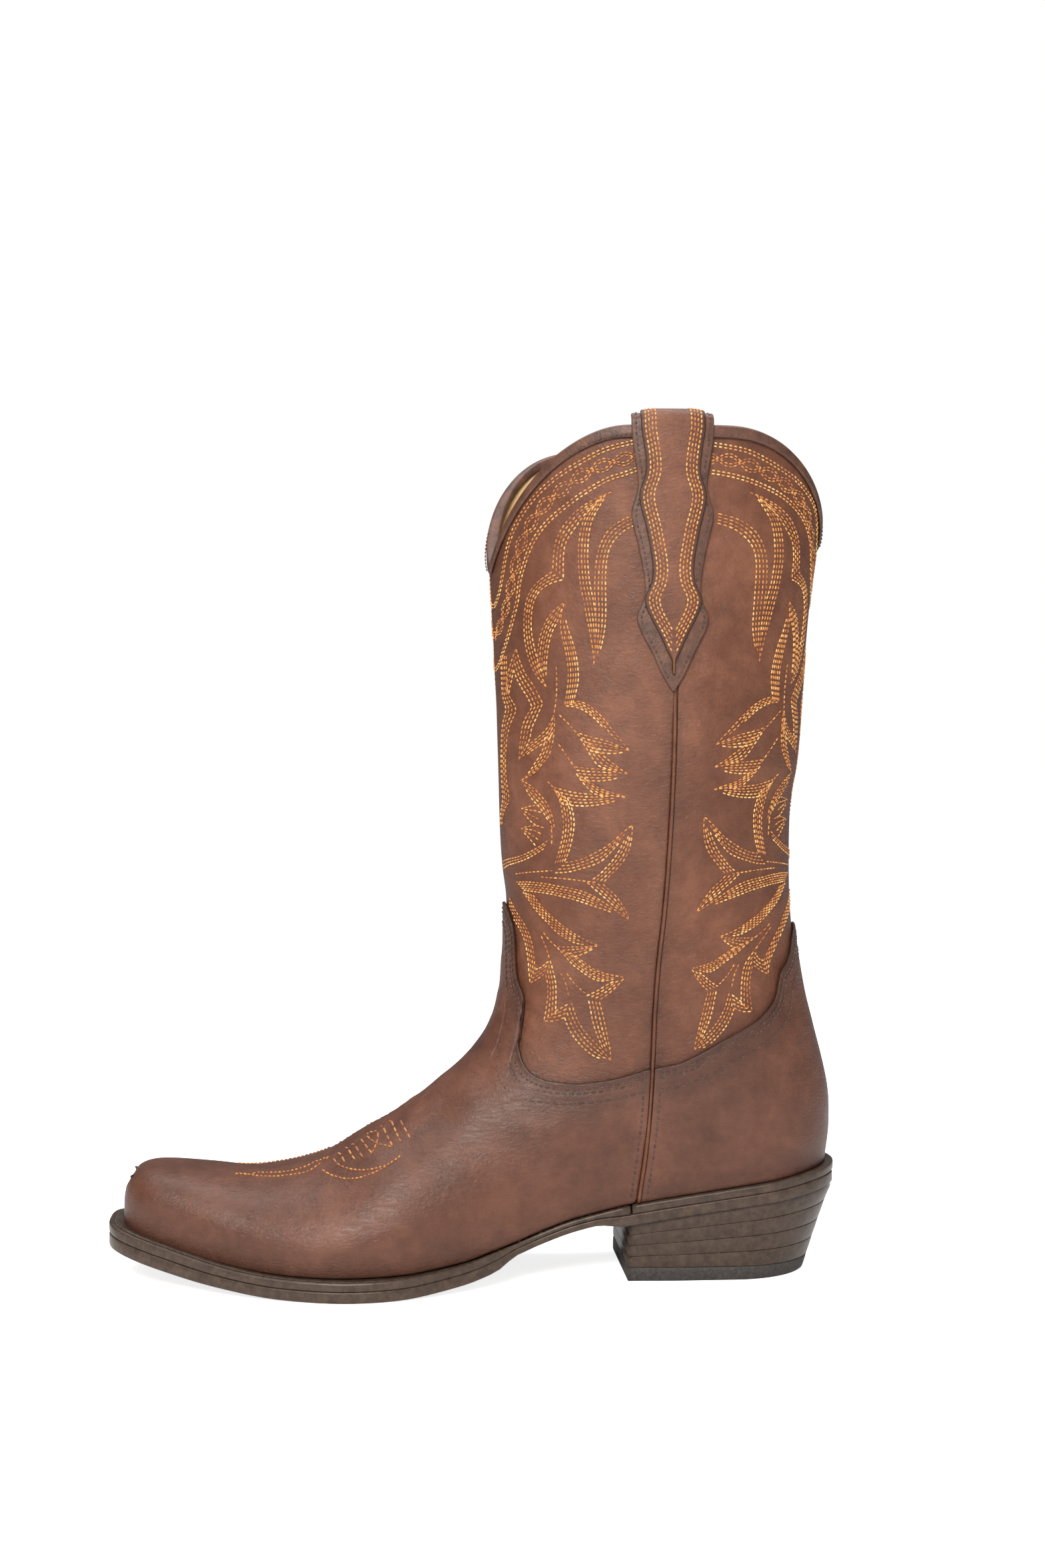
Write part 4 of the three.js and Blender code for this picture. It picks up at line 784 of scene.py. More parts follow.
def strap_path(tip, count):
    """Side path of a strap as distance out from the shaft and height: up the outside, over the rim as half
    an ellipse, and down the inside with room for a finger."""
    rise = np.linspace(tip, RIM, count)
    outside = np.stack([0.3 + 1.4 * smooth((rise - RIM + 24) / 14), rise], 1)
    into = -5.1
    half_turn = np.linspace(0, np.pi, 18)[1:-1]
    over = np.stack([(1.7 + into) / 2 + (1.7 - into) / 2 * np.cos(half_turn),
                     RIM + 2 + 3 * np.sin(half_turn)], 1)
    t = np.linspace(0, 1, 30)
    loop = np.maximum(0, np.sin(np.pi * t**0.8)) ** 1.2
    inside = np.stack([into - 11 * loop + 1.2 * t, RIM - 56 * t], 1)
    return np.vstack([outside, over, inside]), count


def strap_faces(side, tip, margin, near, far, count=70, columns=15):
    """Two grids of a strap layer, at a near and a far distance from its path, as wide as the outline less a
    margin."""
    line, outside = strap_path(tip, count)
    run = unit(np.gradient(line, axis=0))
    past = smooth((np.arange(len(line)) - outside - 4) / 12.0)
    width = np.interp(np.minimum(line[:, 1], RIM) - (tip - STRAP_TIP), *STRAP_OUTLINE.T) - margin
    half = np.maximum(0.5, width * (1 - past) + (13.4 - margin) * past)
    u = np.sin(np.linspace(-1, 1, columns) * np.pi / 2) * 0.35 + np.linspace(-1, 1, columns) * 0.65
    z_in = np.minimum(line[:, 1], RIM)
    x = seam_x(z_in)[:, None] - 1 + half[:, None] * u
    surface = half_width(x, np.broadcast_to(z_in[:, None], x.shape), side)
    faces = []
    for distance in (far, near):
        y = side * (surface + (line[:, :1] + run[:, 1:] * distance))
        z = np.broadcast_to(line[:, 1:] - run[:, :1] * distance, x.shape)
        faces.append(np.stack([x, y, z], -1))
    return faces


STRAP_GRIDS = {}
for word, side in (("lateral", -1), ("medial", 1)):
    outer, inner = strap_faces(side, STRAP_TIP, 0, 0.1, 1.3)
    STRAP_GRIDS["backing", side] = outer
    backing = leather_piece(f"strap_backing_{word}", outer, inner, CHOCOLATE, 0.45)
    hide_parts(f"pull_strap_backing_{word}")
    outer, inner = strap_faces(side, STRAP_TIP + 7, 3.0, 1.6, 2.9)
    dome = 0.5 * smooth(np.minimum(np.arange(15), 14 - np.arange(15)) / 4.0)
    outer = outer + outward(outer) * (dome - 0.35)[None, :, None]
    STRAP_GRIDS["strap", side] = outer
    edge = np.minimum(np.arange(15), 14 - np.arange(15))
    wear_and_shade = np.broadcast_to(0.9 * np.exp(-edge / 1.2), outer.shape[:2])
    strap = leather_piece(f"strap_{word}", outer, inner, SHAFT_LEATHER, 0.45, False, wear_and_shade)
    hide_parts(f"pull_strap_{word}")

# ---- Welt, outsole and pegs ---------------------------------------------------------------------------
# The upper is sewn to a leather welt round the forefoot; the stitched outsole is pared thin at the waist,
# where wooden pegs hold it. The edges are inked dark grey brown and waxed.
SOLE_OUTER = spline([
    [-154, 22.5], [-140, 27.5], [-120, 35.5], [-95, 45.5], [-70, 53], [-50, 56], [-30, 54], [-10, 47],
    [10, 39.5],
    [20, 36.8], [30, 35.3], [60, 34.2], [90, 34.6], [120, 35.2], [160, 35.2],
])
SOLE_INNER = spline([
    [-154, 22.5], [-140, 27.5], [-120, 36], [-95, 46], [-70, 51], [-50, 50.5], [-30, 45.2], [-10, 38],
    [10, 32.6],
    [20, 31], [30, 30.4], [60, 32], [90, 33.8], [120, 34.8], [160, 35],
])
TOE_TIP, HEEL_BACK, BREAST = -153.0, 156.0, 65.5


def sole_edge(x, side, inset=0.0):
    """Half width of the sole in plan: the outline's width, squared off at the toe by a fourth power and
    rounded at the heel as a circle."""
    toe = np.clip((x - TOE_TIP - inset) / 26, 0, 1)
    heel = np.clip((HEEL_BACK - inset - x) / 36, 0, 1)
    table = SOLE_OUTER if side < 0 else SOLE_INNER
    full = np.interp(x, *table.T) - inset
    return np.maximum(0.3, full * (1 - (1 - toe) ** 4) ** (1 / 3) * np.sqrt(1 - (1 - heel) ** 2))


def sole_thickness(x):
    waist = smooth((x - 7) / 11) - smooth((x - 49) / 15)
    return 8.3 + 1.3 * smooth((-95 - x) / 40) - (8.3 - 4.9) * waist


def sole_bottom(x):
    return feather_z(x) - sole_thickness(x)


def outsole_top(x):
    return sole_bottom(x) + sole_thickness(x) * 0.554


def edge_stations(start, stop, count):
    """Stations along X that crowd towards both ends, where the outline turns."""
    t = np.linspace(0, 1, count)
    return start + (stop - start) * (0.2 * t + 0.8 * (1 - np.cos(np.pi * t)) / 2)


def layer(name, x, half, low, high, material, soften=0.35):
    """A flat layer between two outlines: its edge is a column of rings whose upper and lower rims are drawn
    in by a small round, and its faces are strips from side to side. half gives the half widths for a sign
    and an inset."""
    rings = []
    for inset, share, push in ((soften, 0, 0), (soften * 0.3, 0, 0.3 * soften), (0, 0, soften),
                               (0, 1, -soften),
                               (soften * 0.3, 1, -0.3 * soften), (soften, 1, 0)):
        z = (low(x) if share == 0 else high(x)) + push
        rings.append(np.concatenate([
            np.stack([x, -half(-1) + inset, z], 1), np.stack([x, half(1) - inset, z], 1)[::-1],
        ]))
        rings[-1][:, 0] += np.sign(np.mean(x) - rings[-1][:,
                                                          0]) * inset * np.exp(-np.abs(rings[-1][:, 1]) / 12)
    count = 2 * len(x)
    number = np.arange(len(rings) * count).reshape(len(rings), count)
    faces = quads(np.hstack([number, number[:, :1]])).tolist()
    for ring in (number[0], number[-1]):
        faces += quads(np.stack([ring[:len(x)], ring[:len(x) - 1:-1]])).tolist()
    return put_mesh(name, np.vstack(rings), faces, material)


def sole_edge_leather(name, tone, light, line_gap):
    """Inked sole leather: dark grey brown with rubbed lighter flecks, faint level lines of the tanned
    fibre, and a satin wax."""
    material, tree, shader, place = start_material(name, 0.36)
    flat = wire(tree, "ShaderNodeMapping", (place, "Vector"))
    flat.inputs["Scale"].default_value = (0.05, 0.05, 1)
    lines = noise(tree, flat.outputs[0], line_gap, 4, 0.7)
    flecks = noise(tree, place, 300, 5, 0.7)
    both = counted(tree, "ADD", counted(tree, "MULTIPLY", lines, 0.07),
                   counted(tree, "MULTIPLY", flecks, 0.93))
    tree.links.new(ramp(tree, both, (0.36, tone), (0.66, light)), shader.inputs["Base Color"])
    shader.inputs["Specular IOR Level"].default_value = 0.35
    relief(tree, shader, lines, 0.05, 0.0006)
    relief(tree, shader, flecks, 0.3, 0.0004)
    return material


INKED = sole_edge_leather("edge_leather", (0.034, 0.021, 0.014), (0.070, 0.046, 0.033), 900)
TREAD = sole_edge_leather("sole_leather", (0.034, 0.021, 0.014), (0.074, 0.048, 0.034), 500)
x = edge_stations(TOE_TIP, HEEL_BACK - 2, 120)
outsole = layer("outsole_leather", x, lambda side: sole_edge(x, side), sole_bottom, outsole_top, TREAD, 0.5)
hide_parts("outsole")

t = np.linspace(0, 1, 120)
pace = 0.3 * t**3.2 + 0.7 * t**1.6
walk = np.concatenate([-pace[:0:-1], pace])
side = np.where(walk < 0, -1.0, 1.0)
welt_x = TOE_TIP + (BREAST - 1 - TOE_TIP) * np.abs(walk)
inner_x = TOE_TIP + 14 + (BREAST - 15 - TOE_TIP) * np.abs(walk)
upper_half = np.where(side < 0, np.interp(inner_x, *UPPER_OUTER.T), np.interp(inner_x, *UPPER_INNER.T)) - 5
inner_y = np.maximum(0.8, upper_half * (1 - (1 - np.minimum(1, (inner_x - TOE_TIP - 14) / 16)) ** 3) ** 0.45)
edge_y = np.where(side < 0, sole_edge(welt_x, -1), sole_edge(welt_x, 1))
inward = unit(np.stack([inner_x - welt_x, side * (inner_y - edge_y)], 1))
low_z, high_z = outsole_top(welt_x) + 0.15, feather_z(welt_x)
ring = []
for inset, z in ((0.5, low_z), (0.1, low_z + 0.3), (0, low_z + 0.8), (0, high_z - 0.9), (0.15, high_z - 0.35),
                 (0.6, high_z), (2.4, high_z - 0.1), (2.7, high_z - 0.5), (3.0, high_z - 0.1), (4.2, high_z)):
    ring.append(np.stack([welt_x + inward[:, 0] * inset, side * edge_y + inward[:, 1] * inset, z], 1))
ring.append(np.stack([inner_x, side * inner_y, feather_z(inner_x)], 1))
ring.append(np.stack([inner_x, side * inner_y, outsole_top(inner_x) + 0.15], 1))
ring = np.stack(ring, 1)
WELT_GROOVE = ring[:, 7]
number = np.arange(ring.shape[0] * ring.shape[1]).reshape(ring.shape[:2])
faces = quads(np.hstack([number, number[:, :1]])).tolist() + [number[0].tolist(), number[-1].tolist()]
welt = put_mesh("welt_strip", ring.reshape(-1, 3), faces, INKED)
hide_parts("welt")


def peg_wood():
    """Pale birch: fine upright fibres."""
    material, tree, shader, place = start_material("peg_wood", 0.65)
    tall = wire(tree, "ShaderNodeMapping", (place, "Vector"))
    tall.inputs["Scale"].default_value = (1, 1, 0.08)
    fibres = noise(tree, tall.outputs[0], 2600, 4)
    tree.links.new(ramp(tree, fibres, (0.35, (0.36, 0.22, 0.11)), (0.65, (0.62, 0.44, 0.25))),
                   shader.inputs["Base Color"])
    relief(tree, shader, fibres, 0.4, 0.0003)
    return material


BIRCH = peg_wood()
for name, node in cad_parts.items():
    if name.startswith("peg_"):
        for place_in in node.material_slots:
            place_in.material = BIRCH

# ---- Heel ---------------------------------------------------------------------------------------------
# A rand levels the seat, then four leather lifts are stacked, pegged and trimmed to an undercut block on a
# rubber cap held by five brass nails. Each lift keeps its own faint line.


def heel_shape(z):
    """Back, breast and half width of the heel at a height: all lean in towards the ground."""
    rise = np.clip(z / (sole_bottom(HEEL_BACK - 10) - 2), 0, 1)
    back = HEEL_BACK - 1 - 12 * (1 - rise) ** 0.9
    return back, BREAST - 1.5 * (1 - rise), 29 + (sole_edge(115.0, -1) - 30) * rise**0.85


def heel_ring(surface, inset, count=60):
    """Ring round the heel on a surface: a straight breast, nearly parallel sides and a half-round back."""
    t = 1 - (1 - np.linspace(0, 1, count)) ** 1.9
    x = BREAST + (HEEL_BACK - BREAST) * t
    for _ in range(6):
        back, breast, spread = heel_shape(surface(x))
        x = breast + (back - breast) * t
    round_off = np.minimum(1, (1 - t) / 0.42)
    half = np.maximum(0.3, spread * (0.965 + 0.035 * smooth(t / 0.3)) * np.sqrt(1 - (1 - round_off) ** 2) -
                      inset)
    x = x - inset * smooth(t * 3 - 2) + inset * smooth(1 - t * 12)
    z = surface(x)
    return np.concatenate([np.stack([x, -half, z], 1), np.stack([x, half, z], 1)[::-1]])


def heel_layer(name, low, high, material, soften=0.16):
    """A lift of the heel between two surfaces, its two rims drawn in a little so that each lift reads."""
    levels = [(low, soften, 0), (low, 0.08, soften), (high, 0.08, -soften), (high, soften, 0)]
    rings = [heel_ring(lambda x, s=s, push=push: s(x) + push, inset) for s, inset, push in levels]
    middle = [heel_ring(lambda x, m=m: low(x) + (high(x) - low(x)) * m, 0.0) for m in (0.35, 0.65)]
    rings = rings[:2] + middle + rings[2:]
    count, half = len(rings[0]), len(rings[0]) // 2
    number = np.arange(len(rings) * count).reshape(len(rings), count)
    faces = quads(np.hstack([number, number[:, :1]])).tolist()
    for ring in (number[0], number[-1]):
        faces += quads(np.stack([ring[:half], ring[:half - 1:-1]])).tolist()
    return put_mesh(name, np.vstack(rings), faces, material)


def heel_level(share):
    return lambda x: 6 + (sole_bottom(x) - 6) * share


for i in range(4):
    lift = heel_layer(f"heel_lift_leather_{i + 1}", heel_level(i / 4 + 0.004),
                      heel_level((i + 1) / 4 - 0.004), INKED)
    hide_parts(f"heel_lift_{i + 1}")


def cap_rubber():
    """Matt black-brown rubber with fine grit and scuffs."""
    material, tree, shader, place = start_material("heel_rubber", 0.7)
    grit = noise(tree, place, 700, 5, 0.7)
    tree.links.new(ramp(tree, grit, (0.35, (0.018, 0.015, 0.014)), (0.7, (0.06, 0.05, 0.045))),
                   shader.inputs["Base Color"])
    relief(tree, shader, grit, 0.5, 0.0004)
    return material


RUBBER = cap_rubber()
cap = heel_layer("heel_cap_rubber", lambda x: 0 * x, lambda x: 0 * x + 5.9, RUBBER, 0.35)
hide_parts("heel_cap")


def brushed_metal(name, tone, light, rough):
    """Plain metal with fine scratches that vary its colour and relief."""
    material, tree, shader, place = start_material(name, rough)
    shader.inputs["Metallic"].default_value = 1.0
    scratches = noise(tree, place, 1500, 4, 0.7, 2.0)
    tree.links.new(ramp(tree, scratches, (0.3, tone), (0.7, light)), shader.inputs["Base Color"])
    relief(tree, shader, scratches, 0.2, 0.0002)
    return material


BRASS = brushed_metal("nail_brass", (0.36, 0.24, 0.08), (0.66, 0.48, 0.2), 0.38)
# the nail heads stand flush in the cap's underside
for i in range(5):
    low, high = (np.array(c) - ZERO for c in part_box(f"heel_nail_{i + 1}"))
    nx, ny = (low[0] + high[0]) / 2 / MM, (low[1] + high[1]) / 2 / MM
    a = np.linspace(0, 2 * np.pi, 24, endpoint=False)
    radius, level = np.array([0, 1.25, 1.6, 1.4, 1.4, 0]), np.array([-0.0, 0.0, 0.25, 0.5, 5.7, 5.7])
    ring = np.stack([nx + radius[:, None] * np.cos(a), ny + radius[:, None] * np.sin(a),
                     np.broadcast_to(level[:, None], (6, 24))], -1)
    number = np.arange(144).reshape(6, 24)
    nail = put_mesh(f"cap_nail_{i + 1}", ring.reshape(-1, 3),
                    quads(np.hstack([number, number[:, :1]])).tolist(), BRASS)
    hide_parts(f"heel_nail_{i + 1}")

walk = np.linspace(-1, 1, 121)
side = np.where(walk < 0, -1.0, 1.0)
bend = 1 - np.abs(walk) ** 1.6
outer_x, inner_x = BREAST + (HEEL_BACK - BREAST) * bend, BREAST + (HEEL_BACK - 14 - BREAST) * bend
outer_y = np.where(bend > 0.9999, 0, np.where(side < 0, sole_edge(outer_x, -1), sole_edge(outer_x, 1)))
inner_y = 22 * np.sqrt(np.maximum(0, 1 - (1 - np.minimum(1, (HEEL_BACK - 14 - inner_x) / 24)) ** 2))
inward = unit(np.stack([inner_x - outer_x, side * (inner_y - outer_y)], 1))
low_z, high_z = outsole_top(outer_x) + 0.1, feather_z(outer_x)
ring = [np.stack([outer_x + inward[:, 0] * inset, side * outer_y + inward[:, 1] * inset, z], 1) for inset,
        z in (
    (0.5, low_z), (0.1, low_z + 0.3), (0, low_z + 0.8), (0, high_z - 0.8), (0.15, high_z - 0.3),
    (0.6, high_z))]
ring.append(np.stack([inner_x, side * inner_y, feather_z(inner_x)], 1))
ring.append(np.stack([inner_x, side * inner_y, outsole_top(inner_x) + 0.1], 1))
ring = np.stack(ring, 1)
number = np.arange(ring.shape[0] * ring.shape[1]).reshape(ring.shape[:2])
faces = quads(np.hstack([number, number[:, :1]])).tolist() + [number[0].tolist(), number[-1].tolist()]
rand = put_mesh("heel_rand_leather", ring.reshape(-1, 3), faces, INKED)
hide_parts("heel_rand")
# ---- Fancy stitching on the shaft ---------------------------------------------------------------------
# Bands of close parallel rows sewn through the panel and its lining in a thread dyed from rust to gold:
# flames below the top line, a split leaf at mid height and arrows and swallow tails down to the ankle.


def stitch_run(curve, pitch):
    """Ends of stitches along a curve in two or more coordinates: even steps of its length, each stitch
    covering most of a step."""
    length = np.concatenate([[0], np.cumsum(np.linalg.norm(np.diff(curve, axis=0), axis=1))])
    count = max(1, int(length[-1] / pitch))
    at = (np.arange(count)[:, None] + np.array([0.09, 0.91])) * length[-1] / count
    return np.stack([np.interp(at, length, column) for column in curve.T], -1)


def thread_stitches(name, ends, normal, material, width=0.36, height=0.3, tone=0.5):
    """Stitches as plump grains of thread: three six-sided rings between two points, laid from end to end of
    each stitch and sunk at both ends, with one tone to a stitch."""
    start, stop = ends[:, 0], ends[:, 1]
    along = unit(stop - start)
    normal = unit(normal - (normal * along).sum(-1, keepdims=True) * along)
    across = np.cross(normal, along)
    middle, reach = (start + stop) / 2, np.linalg.norm(stop - start, axis=1)[:, None] / 2
    spin = np.arange(6) * np.pi / 3
    rings = [(-0.62, 0.82), (0.0, 1.0), (0.62, 0.82)]
    points = [middle - along * reach - normal * 0.25]
    for u, size in rings:
        for s in spin:
            points.append(middle + along * reach * u + across * (width * size * np.cos(s))
                          + normal * (height * (0.35 + size * np.sin(s)) - 0.1 * abs(u)))
    points.append(middle + along * reach - normal * 0.25)
    points = np.stack(points, 1)
    number = 20 * np.arange(len(ends))[:, None]
    ring = 1 + np.arange(18).reshape(3, 6)
    faces = [[0, ring[0, (k + 1) % 6], ring[0, k]] for k in range(6)]
    faces += [[19, ring[2, k], ring[2, (k + 1) % 6]] for k in range(6)]
    sides = [[ring[r, k], ring[r, (k + 1) % 6], ring[r + 1, (k + 1) % 6],
              ring[r + 1, k]] for r in (0, 1) for k in range(6)]
    faces = np.vstack([(number + np.array(f)).reshape(-1, len(f)) for f in faces]).tolist() + np.vstack(
        [number + np.array(f) for f in sides]).tolist()
    mesh = bpy.data.meshes.new(name)
    mesh.from_pydata((points.reshape(-1, 3) * MM + ZERO).tolist(), [], faces)
    shade = np.repeat(np.broadcast_to(tone, len(ends)), 20).astype(np.float32)
    mesh.attributes.new("tone", "FLOAT", "POINT").data.foreach_set("value", shade)
    mesh.shade_smooth()
    mesh.materials.append(material)
    piece = bpy.data.objects.new(name, mesh)
    bpy.context.collection.objects.link(piece)
    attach(piece, "root")
    return piece


def thread(name, *stops, rough=0.45):
    """Waxed thread whose colour runs with the tone of each stitch, with a fine twist of plies and a soft
    sheen."""
    material, tree, shader, place = start_material(name, rough)
    tone = wire(tree, "ShaderNodeAttribute", attribute_name="tone").outputs["Fac"]
    color = ramp(tree, tone, *stops)
    plies = noise(tree, place, 2400, 3)
    color = mixed(tree, 0.45, color, ramp(tree, plies, (0.35, (0.6, 0.55, 0.5)), (0.62, (1, 1, 1))),
                  "MULTIPLY")
    tree.links.new(color, shader.inputs["Base Color"])
    shader.inputs["Sheen Weight"].default_value = 0.15
    relief(tree, shader, plies, 0.5, 0.0003)
    return material


GOLD_THREAD = thread("gold_thread", (0.0, (0.14, 0.038, 0.010)), (0.4, (0.38, 0.12, 0.024)),
                     (0.7, (0.62, 0.27, 0.055)),
                     (1.0, (0.80, 0.50, 0.18)))
DARK_THREAD = thread("dark_thread", (0.0, (0.020, 0.009, 0.006)), (1.0, (0.10, 0.048, 0.030)), rough=0.5)

# rows lie at a distance round the shaft from its centre line, measured over the leather at half height
turns = np.radians(np.linspace(0, 90, 181))
arc = np.hypot(46 * np.cos(turns), 67 * np.sin(turns))
ROUND_MM = np.concatenate([[0], np.cumsum((arc[1:] + arc[:-1]) / 2 * np.diff(turns))])


def on_shaft(s, z, end, side, off=0.0):
    """Points and normals of the shaft at distances round it and heights, from the slope of its surface."""
    def at(s, z):
        angle = np.degrees(np.interp(s, ROUND_MM, turns))
        x = shaft_x(angle, z, end)
        lift = shaft_lift(x, z, side) * smooth((z - 95) / 30) * smooth((89.5 - s) / 6)
        return on_boot(x, z, side), lift
    here, lift = at(s, z)
    round_it, up_it = at(np.where(s > 88, s - 1.0, s + 1.0), z)[0] - here, at(s, z + 1.0)[0] - here
    normal = unit(np.cross(round_it, up_it))
    away = np.stack([here[..., 0] - (67 if end == "front" else 80) - 8, here[..., 1], 0 * here[..., 2]], -1)
    normal *= np.sign((normal * away).sum(-1, keepdims=True))
    return here + normal * (off + lift)[..., None], normal


def band(edge_a, edge_b, rows, pitch=2.15, steps=10):
    """Rows ruled between two edge curves: both are splines cut at the same shares of their length, and each
    row keeps its share of the way across. Inner rows stop where the band narrows to a point."""
    edges = []
    for edge in (edge_a, edge_b):
        fine = spline(edge, steps)
        length = np.concatenate([[0], np.cumsum(np.linalg.norm(np.diff(fine, axis=0), axis=1))])
        at = np.linspace(0, length[-1], 80)
        edges.append(np.stack([np.interp(at, length, column) for column in fine.T], 1))
    out = []
    for k in range(rows):
        line = edges[0] + (edges[1] - edges[0]) * (k / max(1, rows - 1))
        ends = stitch_run(line, pitch)
        middle = ends.mean(1)
        gap = np.linalg.norm(edges[0] - edges[1], axis=1)
        nearby = ((middle[:, None] - line[None]) ** 2).sum(2).argmin(1)
        room = gap[nearby] / max(1, rows - 1)
        keep = (room > 0.85) | ((k % 2 == 0) & (room > 0.5)) | (k == 0)
        out.append(np.concatenate([ends[keep], np.full((keep.sum(), 2, 1), k / max(1, rows - 1))], 2))
    return np.concatenate(out)


